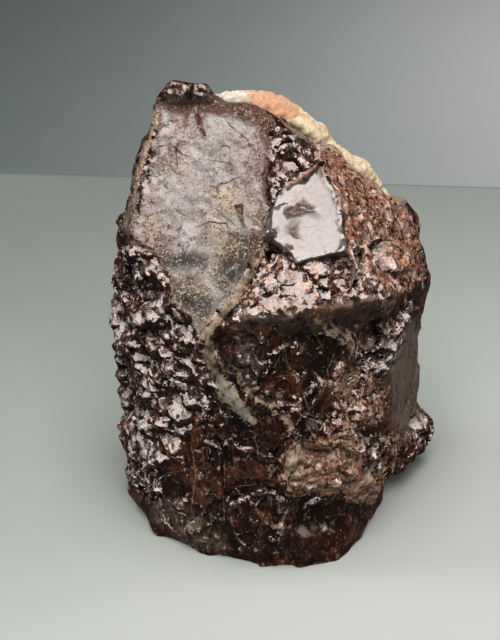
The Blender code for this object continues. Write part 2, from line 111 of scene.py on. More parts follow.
# Stains, dust and films that lie over the breaks.
STAINS = {
    "crest": [(-11.4, 61.5), (-8.0, 64.0), (-3.4, 63.9), (-0.2, 60.0), (0.1, 58.2), (-2.6, 58.2),
              (-4.9, 59.1), (-7.5, 60.0), (-11.4, 60.4)],
    "left_brown": [(-17.8, 56.7), (-14.7, 57.4), (-13.1, 56.2), (-13.6, 53.4), (-15.4, 50.7), (-17.2, 51.2),
                   (-18.4, 53.1)],
    "slab_top": [(7.0, 54.4), (11.6, 56.2), (12.4, 52.2), (12.0, 50.2), (10.1, 51.0), (7.9, 52.1)],
    "mirror_rim": [(1.4, 48.2), (7.0, 53.1), (7.7, 51.8), (4.2, 49.7), (1.7, 47.4)],
    "rust_column": [(8.0, 52.6), (10.1, 51.2), (12.2, 47.3), (12.9, 41.9), (11.8, 37.6), (10.8, 38.6),
                    (10.1, 44.7), (8.7, 49.4)],
    "dark_pocket": [(-25.0, 38.2), (-18.3, 38.3), (-17.1, 35.7), (-18.5, 32.0), (-22.6, 32.4),
                    (-25.0, 34.0)],
    "brow_recess": [(2.8, 1.1), (7.2, 2.2), (11.6, 1.8), (12.2, -1.5), (10.9, -4.4), (4.5, -3.8)],
    "scoop": [(-6.1, 41.6), (-3.1, 41.8), (-1.6, 40.9), (-2.5, 38.5), (-4.9, 35.0), (-7.1, 33.2),
              (-8.6, 34.3), (-8.2, 37.7)],
    "olive": [(-15.1, 35.0), (-12.4, 35.3), (-10.0, 33.5), (-8.6, 32.0), (-10.1, 28.0), (-12.4, 29.3),
              (-14.5, 31.6), (-15.4, 32.7)],
    "blue_band": [(-17.6, 39.5), (-13.1, 39.2), (-9.7, 38.6), (-10.0, 36.8), (-13.9, 36.8),
                  (-16.6, 37.4)],
    "ochre_high": [(-8.7, 48.3), (-3.4, 48.6), (-1.6, 46.2), (-2.5, 43.2), (-5.2, 43.8), (-8.7, 45.3)],
    "ochre_low": [(-13.9, 45.8), (-8.7, 43.3), (-5.7, 41.0), (-7.2, 37.7), (-10.0, 37.7),
                  (-11.7, 41.0)],
    "left_strip": [(-17.6, 61.6), (-16.7, 61.8), (-17.5, 58.6), (-18.6, 55.0), (-19.4, 52.0), (-19.9, 48.5),
                   (-20.9, 48.8), (-20.4, 52.3), (-19.5, 56.1), (-18.6, 59.2)],
    "left_glints": [(-18.8, 58.6), (-17.6, 58.9), (-17.0, 56.1), (-17.6, 51.6), (-18.4, 47.8),
                    (-19.9, 44.7), (-21.5, 43.2), (-20.6, 48.5), (-19.7, 53.1)],
    "vein_top": [(-10.7, 26.8), (-9.2, 25.8), (-8.6, 22.8), (-9.1, 20.6), (-10.0, 21.5), (-10.4, 24.0)],
    "vein_white": [(-8.7, 20.2), (-6.4, 19.7), (-3.6, 16.6), (-1.8, 13.0), (-2.9, 12.2), (-5.0, 14.3),
                   (-7.5, 16.7), (-9.0, 18.8)],
    "front_dust": [(9.5, 23.5), (13.5, 22.5), (17.5, 20.5), (18.5, 16.0), (17.0, 11.5), (8.0, 11.0),
                   (9.0, 14.5), (8.5, 19.0)],
    "low_dust": [(-2.0, 9.0), (2.0, 9.5), (2.2, 2.5), (2.6, -0.5), (2.6, -6.0), (0.5, -6.0), (0.4, 0.5)],
    "orange_spots": [(-19.4, 44.6), (-17.6, 44.0), (-16.9, 41.7), (-17.3, 40.1), (-18.8, 41.0)],
    "lilac_patch": [(-13.9, 43.7), (-11.2, 43.7), (-11.5, 41.0), (-13.0, 38.9), (-13.9, 40.2)],
    "rim_rust": [(-1.5, 63.9), (3.0, 61.8), (6.2, 59.2), (11.8, 55.1), (19.1, 47.8), (22.0, 46.1),
                 (20.2, 44.5), (16.0, 46.9), (10.4, 52.0), (6.6, 56.0), (3.5, 58.2), (-0.3, 60.8)],
    "rim_pale": [(-3.5, 62.8), (-0.3, 61.0), (2.6, 59.2), (5.9, 56.4), (8.0, 55.3), (11.0, 54.0),
                 (13.1, 51.8), (16.4, 49.6), (19.7, 46.8), (23.0, 48.0), (14.0, 58.0), (2.0, 66.0),
                 (-3.0, 66.0)],
    "crest_left": [(-15.8, 61.7), (-12.5, 61.7), (-11.6, 60.8), (-13.1, 60.4), (-15.2, 60.7)],
    "crest_finger": [(-11.9, 60.5), (-11.0, 60.4), (-10.4, 58.0), (-9.8, 56.8), (-10.5, 56.7), (-11.4, 58.3)],
    "crest_point": [(-13.4, 60.5), (-12.8, 60.3), (-12.8, 58.9), (-13.1, 57.8), (-13.4, 58.6)],
    "yellow_spots": [(16.2, 44.2), (17.6, 44.7), (19.3, 43.4), (18.7, 42.6), (16.7, 42.9)],
    "beige_patch": [(1.9, 10.7), (3.9, 11.3), (4.7, 8.3), (4.3, 4.3), (3.1, 2.5), (2.1, 5.2)],
    "foot_stain": [(12.6, -2.1), (14.6, -0.8), (16.7, -1.1), (15.9, -2.9), (13.7, -4.8), (12.6, -4.3)],
    "dust_band": [(-9.4, 26.8), (-7.6, 23.0), (-3.4, 20.0), (-0.4, 17.2), (2.7, 15.1), (4.4, 12.2),
                  (3.5, 10.5), (1.2, 13.5), (-2.2, 16.6), (-5.7, 19.5), (-8.4, 22.1), (-9.8, 24.8)],
    "brown_band": [(6.6, 29.9), (9.8, 27.5), (12.8, 25.0), (14.4, 24.1), (12.2, 23.5), (9.9, 25.1),
                   (7.4, 27.5), (5.7, 29.0)],
    "slate_top": [(-5.5, 30.0), (-3.1, 30.6), (1.7, 29.3), (1.0, 28.1), (-3.4, 28.4), (-5.3, 29.0)],
    "base_band": [(-19.2, 0.1), (-14.6, 0.0), (-12.0, -1.9), (-8.2, -5.1), (-6.3, -7.9), (-10.1, -7.7),
                  (-15.6, -6.2), (-19.3, -3.5)],
    "pink_foot": [(5.9, 4.6), (11.5, 4.5), (12.8, 2.1), (17.2, 0.4), (17.5, -1.1), (12.8, -0.3),
                  (11.1, 1.7), (6.3, 1.9)],
    "gloss_lumps": [(13.7, 14.2), (19.7, 10.4), (21.0, 6.4), (18.2, 2.5), (15.5, 3.1), (13.3, 8.3),
                    (12.4, 11.9)],
    "glow_high": [(-1.6, 27.5), (4.0, 28.7), (9.4, 25.2), (11.2, 19.8), (9.7, 12.8), (5.0, 13.8),
                  (0.4, 17.7), (-2.2, 23.0)],
    "glow_low": [(-15.9, 11.8), (-8.8, 14.4), (-3.4, 12.3), (2.0, 8.3), (1.3, 1.1), (-5.0, -2.5),
                 (-13.0, -0.5), (-16.9, 3.5)],
    "grey_corner": [(-5.5, 27.5), (-1.6, 26.0), (-1.6, 22.3), (-3.4, 20.0), (-5.2, 23.0)],
    "green_patch": [(9.2, 22.7), (11.0, 23.2), (12.0, 19.8), (13.7, 17.8), (12.1, 16.6), (10.4, 18.3)],
}

# Flakes that are gone from the film: outline, depth.
CHIPS = {
    "vee": ([(-5.8, 46.2), (-4.3, 46.3), (-4.5, 44.3), (-4.0, 42.4), (-4.9, 43.7), (-5.4, 45.1)], 0.5),
    "leaf_long": ([(1.3, 45.2), (2.6, 46.0), (4.1, 45.8), (4.4, 45.2), (3.0, 44.7)], 0.15),
    "leaf_thin": ([(3.0, 46.3), (4.5, 46.7), (5.8, 46.0), (6.9, 45.7), (4.9, 45.3), (3.7, 45.8)], 0.15),
    "leaf_low": ([(2.3, 42.3), (3.7, 42.1), (3.9, 41.0), (3.0, 41.4)], 0.15),
    "leaf_foot": ([(0.9, 39.7), (2.9, 40.2), (3.0, 39.5), (1.5, 39.0)], 0.15),
    "black_pit": ([(-1.2, 39.2), (-0.1, 39.6), (0.6, 38.8), (0.1, 37.4), (-1.0, 37.3)], 1.5),
    "crest_crack": ([(-11.9, 60.3), (-11.1, 60.2), (-10.5, 58.0), (-9.8, 56.8), (-10.6, 56.8),
                     (-11.4, 58.3)], 0.3),
}

# Small flat facets that stand out of the rough breaks: outline.
FACETS = {
    "by_mirror": [(12.0, 39.6), (13.9, 39.9), (14.5, 37.7), (14.0, 36.1), (12.5, 36.5)],
    "under_mirror": [(6.7, 35.6), (8.2, 35.4), (7.9, 33.7), (6.9, 34.0)],
    "brow_left": [(1.0, 34.2), (2.9, 34.2), (2.9, 32.7), (1.3, 32.7)],
    "brow_mid": [(6.4, 33.7), (8.6, 33.5), (8.4, 31.8), (7.2, 32.1)],
    "brow_right": [(12.0, 34.8), (13.2, 35.1), (13.6, 32.5), (12.5, 33.0)],
    "right_high": [(14.4, 40.3), (16.6, 41.5), (20.4, 40.2), (20.6, 38.0), (19.0, 36.0), (16.3, 36.9)],
    "lump_face": [(24.0, 12.6), (25.4, 12.2), (25.2, 10.2), (24.3, 10.4)],
}

# Raised edges: height, half width, course.
RIBS = {
    "ridge": (1.3, 1.2, [(-0.7, 41.2), (-2.5, 37.6), (-4.9, 33.8), (-7.6, 30.2), (-10.1, 26.0)]),
    "front": (0.9, 1.8, [(6.4, 28.4), (11.0, 26.0), (13.5, 22.1), (14.7, 16.5), (12.4, 11.9), (13.2, 5.3)]),
    "vein": (0.3, 1.2, [(-10.1, 25.3), (-7.6, 19.4), (-3.0, 13.6), (-1.6, 9.1)]),
    "low_edge": (0.5, 1.3, [(2.2, 9.6), (1.9, 4.0), (2.4, -1.0), (1.6, -6.0)]),
    "low_left": (0.45, 1.2, [(-7.4, 8.0), (-7.5, 2.4), (-5.6, -2.5), (-4.6, -7.0)]),
    "scallop_high": (0.8, 1.0, [(22.2, 30.8), (19.6, 28.6), (17.6, 25.6), (14.0, 24.6)]),
    "scallop_low": (0.7, 0.9, [(20.4, 26.6), (18.4, 23.4), (15.6, 21.6), (12.4, 23.2)]),
    "slab": (0.6, 0.6, [(1.8, 48.2), (7.2, 52.5)]),
}

# Steps, from left to right: the surface below the course lies deeper. Depth, reach below, course.
STEPS = {
    "left_high": (1.2, 2.6, [(-25.0, 6.9), (-23.0, 6.4), (-20.5, 5.3), (-17.9, 4.6)]),
    "left_low": (0.9, 2.2, [(-25.0, 1.6), (-20.5, 1.6), (-18.0, 1.0)]),
    "low_chip": (0.5, 1.6, [(-12.8, 0.6), (-10.0, -0.5), (-7.3, 1.1)]),
}

# Fine pale veins and hairlines: half width, course.
VEINS = {
    "front_long": (0.22, [(5.9, 21.5), (7.5, 19.9), (10.4, 18.6), (12.4, 17.1), (14.5, 15.0)]),
    "front_left": (0.07, [(0.1, 20.4), (2.3, 20.7), (4.6, 21.2)]),
    "front_mid": (0.09, [(4.5, 18.6), (6.0, 18.9), (7.5, 19.0)]),
    "front_high": (0.10, [(6.0, 27.2), (6.9, 25.9), (7.9, 24.2)]),
    "front_band": (0.30, [(8.2, 29.0), (10.9, 26.7), (12.6, 25.7), (15.1, 23.9)]),
    "front_right": (0.20, [(13.0, 23.7), (14.0, 22.4), (16.5, 21.5)]),
    "low_fork": (0.14, [(2.6, 16.5), (4.7, 14.3), (6.5, 13.7), (9.7, 11.6)]),
    "low_straight": (0.14, [(5.0, 13.5), (7.1, 9.7), (9.4, 6.9)]),
    "low_mid": (0.16, [(11.3, 16.2), (11.6, 14.0), (11.3, 11.7)]),
    "low_right": (0.16, [(14.2, 15.3), (12.9, 13.5), (12.6, 11.4)]),
    "side_edge": (0.30, [(21.7, 13.0), (21.0, 10.4), (20.0, 8.1), (20.9, 6.6), (20.3, 2.8)]),
    "rust_streak": (0.34, [(12.8, 7.8), (12.7, 4.2), (13.3, 1.0)]),
    "foot_left": (0.07, [(-17.6, 4.5), (-13.7, 5.3), (-10.1, 5.9)]),
    "foot_mid": (0.08, [(-7.0, 2.8), (-4.2, 3.2), (-1.4, 3.5)]),
    "foot_upright": (0.09, [(-7.3, 7.6), (-7.5, 2.4), (-7.4, -3.3)]),
    "foot_high": (0.14, [(-2.9, 11.3), (-2.3, 9.7), (-2.2, 7.5)]),
    "brow_edge": (0.16, [(1.9, 2.2), (4.4, 1.6), (7.2, 2.5), (11.4, 2.4)]),
    "brow_left": (0.18, [(2.7, 0.3), (1.8, -2.3), (1.2, -5.7)]),
    "base": (0.12, [(-6.1, -3.9), (-4.8, -6.9)]),
    "left_rim": (0.40, [(-17.3, 61.4), (-18.4, 58.0), (-19.6, 54.0), (-20.5, 50.0)]),
    "foot_steep": (0.12, [(-12.6, 9.8), (-11.9, 4.4), (-12.6, -0.6)]),
    "foot_fork": (0.10, [(-9.8, 12.9), (-6.4, 9.6), (-3.2, 8.9)]),
    "front_steep": (0.12, [(1.4, 26.0), (2.2, 22.6), (4.6, 18.4), (5.4, 15.4)]),
    "front_far": (0.14, [(9.6, 24.6), (8.4, 21.4), (9.0, 18.2)]),
    "satin_high": (0.10, [(-12.6, 55.2), (-10.4, 55.0), (-8.6, 55.1)]),
    "satin_edge": (0.12, [(-17.4, 61.8), (-14.0, 62.4), (-12.6, 64.4)]),
}

# Clean little faces in a row, that throw the light back: half width, course.
GLEAMS = {
    "scallop_high": (0.45, [(16.8, 24.4), (18.4, 25.4), (19.6, 26.5), (20.8, 27.9)]),
    "scallop_mid": (0.40, [(13.3, 23.6), (14.5, 22.8), (15.5, 22.2), (17.5, 21.5)]),
    "scallop_low": (0.30, [(15.4, 20.6), (16.5, 21.1)]),
    "front_mid": (0.25, [(6.0, 19.0), (7.7, 19.7), (9.4, 19.3)]),
    "brow": (0.60, [(5.5, -0.2), (6.3, 0.4), (7.2, 0.7)]),
    "rust_low": (0.35, [(9.4, 4.5), (10.9, 3.7)]),
    "rust_left": (0.30, [(5.9, 5.8), (7.5, 6.2)]),
    "rust_right": (0.30, [(15.4, 9.4), (16.2, 8.0), (17.6, 6.0), (18.5, 4.3)]),
    "lump": (0.40, [(24.3, 11.5), (24.7, 10.5), (25.1, 9.8)]),
    "left_step": (0.45, [(-22.5, 3.0), (-21.0, 2.9), (-20.2, 4.2)]),
    "by_mirror": (0.45, [(12.0, 41.0), (12.4, 38.7), (12.7, 35.7), (12.3, 33.5)]),
    "right_high": (0.60, [(15.1, 40.7), (16.4, 39.6), (18.2, 38.0), (19.2, 36.7)]),
    "right_low": (0.60, [(15.6, 37.8), (17.1, 37.0), (18.5, 38.0)]),
    "under_mirror": (0.50, [(2.2, 33.1), (3.4, 33.7), (4.8, 32.5), (5.7, 31.5)]),
}

# Fine dark cracks: half width, course.
CRACKS = {
    "vee": (0.10, [(-8.8, 45.9), (-7.6, 44.7), (-6.1, 43.8), (-5.2, 43.0)]),
    "mirror_long": (0.05, [(-1.5, 41.8), (2.5, 42.3), (6.7, 43.1), (8.4, 44.7), (8.9, 46.5)]),
    "mirror_low": (0.08, [(6.2, 41.9), (7.1, 40.1), (8.3, 38.5)]),
    "mirror_high": (0.04, [(1.2, 46.0), (3.4, 47.0), (5.2, 49.6)]),
    "ridge": (0.28, [(-0.6, 41.4), (-1.7, 39.5), (-2.7, 37.8)]),
    "satin_left": (0.10, [(-15.0, 46.0), (-13.9, 45.1), (-12.7, 44.3)]),
    "satin_mid": (0.08, [(-9.7, 53.2), (-7.6, 52.9), (-6.7, 52.5)]),
    "satin_high": (0.16, [(-7.0, 59.3), (-6.4, 58.3), (-5.4, 57.4)]),
    "satin_upright": (0.10, [(-14.0, 57.0), (-14.6, 54.4), (-14.2, 51.6)]),
    "mirror_edge": (0.12, [(9.0, 49.4), (10.0, 46.3), (11.1, 40.1)]),
}

# Where the rind's clean crumbs begin, above its stained inner side.
RIND_FOOT = [(21.5, 45.6), (19.2, 49.2), (16.4, 52.2), (13.2, 55.0), (10.0, 57.2), (6.0, 60.4), (2.4, 62.6),
             (-1.5, 64.0), (-9.0, 64.6)]

# What all colours in the panel share.
TINT = {"size": 3, "min": 0.0, "max": 1.0}


class MassLook(bpy.types.PropertyGroup):
    grid: FloatProperty(
        name="Grid", description="Spacing of the points that the breaks are cut in",
        default=0.25 * MM, unit="LENGTH", precision=5)
    triangles: IntProperty(name="Triangles", description="Triangles of the finished mass", default=197000)
    crag_width: FloatProperty(
        name="Crag width", description="Width of the coarse crags on the rough breaks", default=2.9 * MM,
        unit="LENGTH", precision=5)
    shell_depth: FloatProperty(
        name="Shell depth", description="Depth of the wide shell-shaped hollows", default=1.0 * MM,
        unit="LENGTH", precision=5)
    glass: FloatVectorProperty(
        name="Glass", description="Body colour of the glassy mineral", subtype="COLOR",
        default=(0.050, 0.013, 0.0065), **TINT)
    ember: FloatVectorProperty(
        name="Ember", description="Red-brown that glows where the mineral is thin", subtype="COLOR",
        default=(0.165, 0.047, 0.020), **TINT)
    earth: FloatVectorProperty(
        name="Earth", description="Brown bloom on the rough breaks", subtype="COLOR",
        default=(0.21, 0.105, 0.070), **TINT)
    satin: FloatVectorProperty(
        name="Satin film", description="Grey-lilac film on the sloping break", subtype="COLOR",
        default=(0.37, 0.325, 0.305), **TINT)
    ochre: FloatVectorProperty(
        name="Ochre", description="Yellow-brown stain", subtype="COLOR",
        default=(0.44, 0.31, 0.17), **TINT)
    rust: FloatVectorProperty(
        name="Rust", description="Orange-brown stain", subtype="COLOR",
        default=(0.32, 0.110, 0.048), **TINT)
    vein: FloatVectorProperty(
        name="Vein", description="Pale beige of the veins and edges", subtype="COLOR",
        default=(0.60, 0.47, 0.35), **TINT)
    slate: FloatVectorProperty(
        name="Slate", description="Grey film on the dark faces", subtype="COLOR",
        default=(0.38, 0.305, 0.25), **TINT)


class RindLook(bpy.types.PropertyGroup):
    grid: FloatProperty(
        name="Grid", description="Spacing of the points that the crumbs are cut in", default=0.24 * MM,
        unit="LENGTH", precision=5)
    triangles: IntProperty(name="Triangles", description="Triangles of the finished rind", default=90000)
    crumb_depth: FloatProperty(
        name="Crumb depth", description="How far the crumbs stand out", default=1.0 * MM, unit="LENGTH",
        precision=5)
    seat: FloatProperty(
        name="Seat", description="How far the rind is grown so that it meets the mass", default=0.6 * MM,
        unit="LENGTH", precision=5)
    cream: FloatVectorProperty(
        name="Cream", description="Pale yellow of the weathered crumbs", subtype="COLOR",
        default=(1.0, 0.87, 0.56), **TINT)
    chalk: FloatVectorProperty(
        name="Chalk", description="Near-white grains", subtype="COLOR",
        default=(0.97, 0.92, 0.80), **TINT)
    orange: FloatVectorProperty(
        name="Orange", description="Orange iron stain", subtype="COLOR",
        default=(0.90, 0.50, 0.30), **TINT)
    # Umber: the brown laid where the rind lies deepest among its crumbs.
    umber: FloatVectorProperty(
        name="Umber", description="Brown dirt in the pits", subtype="COLOR",
        default=(0.22, 0.11, 0.055), **TINT)


class StageLook(bpy.types.PropertyGroup):
    table: FloatVectorProperty(
        name="Table", description="Pale table top, at its bright near side", subtype="COLOR",
        default=(0.645, 0.69, 0.66), **TINT)
    table_shade: FloatVectorProperty(
        name="Table shade", description="The table top at its dark far left corner", subtype="COLOR",
        default=(0.345, 0.385, 0.355), **TINT)
    ground: FloatVectorProperty(
        name="Ground", description="Grey ground, at its bright right side", subtype="COLOR",
        default=(0.86, 0.89, 0.875), **TINT)
    ground_shade: FloatVectorProperty(
        name="Ground shade", description="The ground at its dark left side", subtype="COLOR",
        default=(0.54, 0.635, 0.62), **TINT)
    overhead: FloatProperty(
        name="Overhead light", description="Power of the large softbox above and in front", default=3.6,
        unit="POWER")
    left: FloatProperty(
        name="Left light", description="Power of the light at the left", default=0.9, unit="POWER")
    right: FloatProperty(
        name="Right light", description="Power of the light at the right", default=0.5, unit="POWER")
    ground_light: FloatProperty(
        name="Ground light", description="Power of the light on the far ground", default=0.8, unit="POWER")
    sky: FloatProperty(name="Sky", description="Brightness of the even light around", default=0.06)
    contrast: FloatProperty(name="Contrast", description="How steeply the tones run", default=1.2)


# --- Patterns, in mm ---------------------------------------------------------------------------

# What stirs a cell's place and a seed into even random numbers.
CELL_PRIMES = np.array((73856093, 19349663, 83492791), np.uint32)
SEED_STEP = 40503
TURN_STEP = np.uint32(0x9E3779B9)
STIRS = ((np.uint32(0x7FEB352D), np.uint32(15)), (np.uint32(0x846CA68B), np.uint32(16)))


def cell_numbers(cells, seed, count):
    """count even random numbers from 0 to 1 for each whole-numbered cell, always the same ones."""
    first, second, third = (cells.astype(np.uint32) * CELL_PRIMES).T
    key = (first ^ second ^ third) + np.uint32(seed * SEED_STEP)
    numbers = np.empty((count, len(cells)), np.float32)
    for turn in range(count):
        key += TURN_STEP
        mixed = key ^ (key >> np.uint32(16))
        for factor, shift in STIRS:
            mixed *= factor
            mixed ^= mixed >> shift
        numbers[turn] = mixed
    return (numbers / np.float32(2.0**32)).T


def ramp(low, high, values):
    """0 at low, 1 at high, smooth between."""
    t = np.clip((values - low) / (high - low), 0.0, 1.0)
    return t * t * (3.0 - 2.0 * t)


def unit(vectors):
    return vectors / np.maximum(np.linalg.norm(vectors, axis=-1, keepdims=True), 1e-9)


def waves(points, width, seed):
    """Soft noise from -1 to 1, about width across."""
    scaled = points / width
    corner = np.floor(scaled).astype(np.int32)
    inside = scaled - corner
    blend = inside**3 * (inside * (inside * 6.0 - 15.0) + 10.0)
    total = np.zeros(len(points))
    for index in range(8):
        step = np.array([index & 1, index >> 1 & 1, index >> 2 & 1], np.int32)
        weight = np.prod(np.where(step, blend, 1.0 - blend), axis=1)
        total += weight * cell_numbers(corner + step, seed, 1)[:, 0]
    return total * 2.0 - 1.0


def rumble(points, width, octaves, seed):
    """Noise with finer detail on top, from about -1 to 1."""
    total = np.zeros(len(points))
    for octave in range(octaves):
        total += waves(points, width / 2**octave, seed + octave * 17) / 2**octave
    return total / (2.0 - 2.0 ** (1 - octaves))


def around(points, width, seed, count):
    """For each of the cells around the points: the way there in widths, and its random numbers."""
    scaled = (points / width).astype(np.float32)
    corner = np.floor(scaled).astype(np.int32)
    for index in range(27):
        step = np.array([index % 3, index // 3 % 3, index // 9], np.int32) - 1
        numbers = cell_numbers(corner + step, seed, count + 3)
        yield scaled - corner - step - numbers[:, :3], numbers[:, 3:]


def shells(points, width, tilt, hollow, seed):
    """Heights, in mm, of hollows that meet in sharp ridges, each tilted its own way."""
    lowest = np.full(len(points), np.inf)
    for reach, numbers in around(points, width, seed, 4):
        lean = (numbers[:, :3] * 2.0 - 1.0) * tilt
        height = (lean * reach).sum(axis=1) + hollow * (reach**2).sum(axis=1) + numbers[:, 3] * tilt * 0.3
        lowest = np.minimum(lowest, height)
    return (lowest - lowest.mean()) * width


def crags(points, normals, front, width, spread, under, relief, seed):
    """Heights, in mm, of overlapping crags: each has a lit tread that faces up and out, two flanks, and a
    dark riser below."""
    outward = unit(normals * (1.0, 1.0, 0.0)) * 0.5 + (0.0, 0.0, 0.866)
    glance = outward + (GLANCE - outward) * front[:, None]
    across = unit(np.cross((0.0, 0.0, 1.0), normals + (0.0, -0.02, 0.0)))
    up = np.cross(normals, across)
    best = np.full(len(points), -np.inf)
    for reach, numbers in around(points, width, seed, 7):
        x, y = (reach * across).sum(axis=1), (reach * up).sum(axis=1)
        look = glance + (numbers[:, :3] * 2.0 - 1.0) * spread
        faced = np.maximum((look * normals).sum(axis=1), 0.38)
        tread = -((look * across).sum(axis=1) * x + (look * up).sum(axis=1) * y) / faced
        left = x * (0.35 + 0.9 * numbers[:, 3])
        right = -x * (0.35 + 0.9 * numbers[:, 4])
        riser = y * under * (0.5 + numbers[:, 5])
        own = np.minimum(np.minimum(tread, riser), np.minimum(left, right)) + (numbers[:, 6] - 0.5) * 0.5
        best = np.maximum(best, own - 0.25 * (reach * normals).sum(axis=1) ** 2)
    return (best - best.mean()) * width * relief


def plates(points, width, spread, seed):
    """Heights, in mm, of flat plates, each leaning its own way, with small steps between."""
    nearest = np.full(len(points), np.inf)
    height = np.zeros(len(points))
    for reach, numbers in around(points, width, seed, 4):
        distance = (reach**2).sum(axis=1)
        own = ((numbers[:, :3] * 2.0 - 1.0) * spread * reach).sum(axis=1) + (numbers[:, 3] - 0.5) * spread
        height = np.where(distance < nearest, own, height)
        nearest = np.minimum(nearest, distance)
    return height * width


def crumbs(points, width, seed):
    """Heights, in mm, of angular crumbs packed side by side."""
    best = np.full(len(points), -np.inf)
    for reach, numbers in around(points, width, seed, 7):
        lean = unit(numbers[:, :3] - 0.5)
        other = unit(numbers[:, 3:6] - 0.5)
        distance = np.linalg.norm(reach, axis=1)
        side = np.abs((lean * reach).sum(axis=1))
        turn = np.abs((other * reach).sum(axis=1))
        block = np.maximum(np.maximum(distance * 0.8, side * 1.1), turn * 1.1)
        best = np.maximum(best, 0.5 + 0.3 * numbers[:, 6] - block)
    return (best - best.mean()) * width


# --- Zones -------------------------------------------------------------------------------------

STRAY = 0.8  # mm, how far the borders of the zones wander


def front_plane(points):
    """(across, up) of each point as seen from 30 degrees above the front."""
    up = points[:, 1] * np.sin(VIEW_DOWN) + points[:, 2] * np.cos(VIEW_DOWN)
    return np.stack([points[:, 0], up], axis=1)


def way_to(places, start, end):
    """(distance, signed distance) of each place from the stretch between two corners."""
    edge = end - start
    reach = places - start
    along = np.clip(reach @ edge / (edge @ edge), 0.0, 1.0)
    distance = np.linalg.norm(reach - along[:, None] * edge, axis=1)
    return distance, distance * np.sign(edge[0] * reach[:, 1] - edge[1] * reach[:, 0])


def depth_inside(places, outline):
    """How far each place lies inside the outline; negative outside."""
    corners = np.array(outline)
    nearest = np.full(len(places), np.inf)
    inside = np.zeros(len(places), bool)
    for start, end in zip(corners, np.roll(corners, -1, axis=0)):
        nearest = np.minimum(nearest, way_to(places, start, end)[0])
        crosses = (start[1] > places[:, 1]) != (end[1] > places[:, 1])
        rise = (end[1] - start[1]) or 1.0
        border = start[0] + (places[:, 1] - start[1]) / rise * (end[0] - start[0])
        inside ^= crosses & (places[:, 0] < border)
    return np.where(inside, nearest, -nearest)


def side_of(places, course):
    """Signed distance of each place from the course: positive to its left."""
    nearest = np.full(len(places), np.inf)
    signed = np.zeros(len(places))
    for start, end in zip(np.array(course[:-1]), np.array(course[1:])):
        distance, side = way_to(places, start, end)
        signed = np.where(distance < nearest, side, signed)
        nearest = np.minimum(nearest, distance)
    return signed


class Zones:
    """Where a set of points lies among the zones, each seen from the front."""

    def __init__(self, points, normals):
        self.exact = front_plane(points)
        self.shift = np.stack([rumble(points, 3.0, 4, 5), rumble(points, 3.0, 4, 29)], axis=1) * STRAY
        self.places = self.exact + self.shift
        toward = -normals[:, 1] * np.cos(VIEW_DOWN) + normals[:, 2] * np.sin(VIEW_DOWN)
        self.front = ramp(-0.15, 0.15, toward)

    def weight(self, name, edge=0.8, ragged=1.0):
        """1 well inside a zone or stain, 0 outside it."""
        outline = ZONES[name] if name in ZONES else STAINS[name]
        return ramp(-edge, edge, depth_inside(self.exact + self.shift * ragged, outline)) * self.front

    def most(self, names, edge=0.8, ragged=1.0):
        return np.max([self.weight(name, edge, ragged) for name in names], axis=0)


# --- Meshes ------------------------------------------------------------------------------------

WELD_REACH = 0.00001  # m, points closer than this are made one
RAISED_SPAN = 0.24  # mm, from the deepest hollow to the highest edge that are told apart
CORE = 0.6  # points that lie in a zone by more than this set its plane


def mesh_from(obj):
    graph = bpy.context.evaluated_depsgraph_get()
    return bpy.data.meshes.new_from_object(obj.evaluated_get(graph))


def fine_copy(node, name, grid):
    """A new object with the CAD node's shape, re-laid on an even grid."""
    obj = bpy.data.objects.new(name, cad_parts[node].data.copy())
    bpy.context.scene.collection.objects.link(obj)
    obj.matrix_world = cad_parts[node].matrix_world
    obj.data.materials.clear()
    weld = obj.modifiers.new("weld", "WELD")
    weld.merge_threshold = WELD_REACH
    skin = obj.modifiers.new("skin", "REMESH")
    skin.mode = "VOXEL"
    skin.voxel_size = grid
    obj.data = mesh_from(obj)
    obj.modifiers.clear()
    return obj


def thin_down(obj, triangles):
    obj.data.calc_loop_triangles()
    modifier = obj.modifiers.new("thin_down", "DECIMATE")
    modifier.ratio = min(1.0, triangles / len(obj.data.loop_triangles))
    obj.data = mesh_from(obj)
    obj.modifiers.clear()


def points_of(mesh):
    """(points in mm, normals) of the mesh."""
    points = np.empty(len(mesh.vertices) * 3, np.float32)
    mesh.vertices.foreach_get("co", points)
    normals = np.empty(len(mesh.vertices) * 3, np.float32)
    mesh.vertex_normals.foreach_get("vector", normals)
    return points.reshape(-1, 3).astype(np.float64) / MM, normals.reshape(-1, 3).astype(np.float64)


def put_points(mesh, points):
    mesh.vertices.foreach_set("co", (points * MM).astype(np.float32).ravel())
    mesh.update()


def edges_of(mesh):
    edges = np.empty(len(mesh.edges) * 2, np.int32)
    mesh.edges.foreach_get("vertices", edges)
    return edges.reshape(-1, 2)


def relax(values, edges, rounds):
    """Values at the points, averaged with those of their neighbours."""
    first, second = edges[:, 0], edges[:, 1]
    count = np.bincount(first, minlength=len(values)) + np.bincount(second, minlength=len(values))
    columns = values.reshape(len(values), -1).copy()
    for _ in range(rounds):
        for i in range(columns.shape[1]):
            column = columns[:, i]
            total = np.bincount(first, column[second], len(values))
            total += np.bincount(second, column[first], len(values))
            columns[:, i] = 0.5 * column + 0.5 * total / np.maximum(count, 1)
    return columns.reshape(values.shape)


def store(mesh, name, values):
    attribute = mesh.attributes.new(name, "FLOAT", "POINT")
    attribute.data.foreach_set("value", np.clip(values, 0.0, 1.0).astype(np.float32))


def standing_out(points, normals, edges):
    """0 in the deepest hollows, 0.5 where the surface is flat, 1 on the highest edges."""
    return 0.5 + ((points - relax(points, edges, 4)) * normals).sum(axis=1) / RAISED_SPAN


def flatten(points, weight):
    """Draws the points of a zone onto the plane that fits it best."""
    core = weight > CORE
    middle = points[core].mean(axis=0)
    normal = np.linalg.svd(points[core] - middle, full_matrices=False)[2][2]
    return points - ((points - middle) @ normal * weight)[:, None] * normal


# --- Shader helpers ----------------------------------------------------------------------------

LINE_SPAN = 1.0  # mm, how far from a fine line its distance is stored


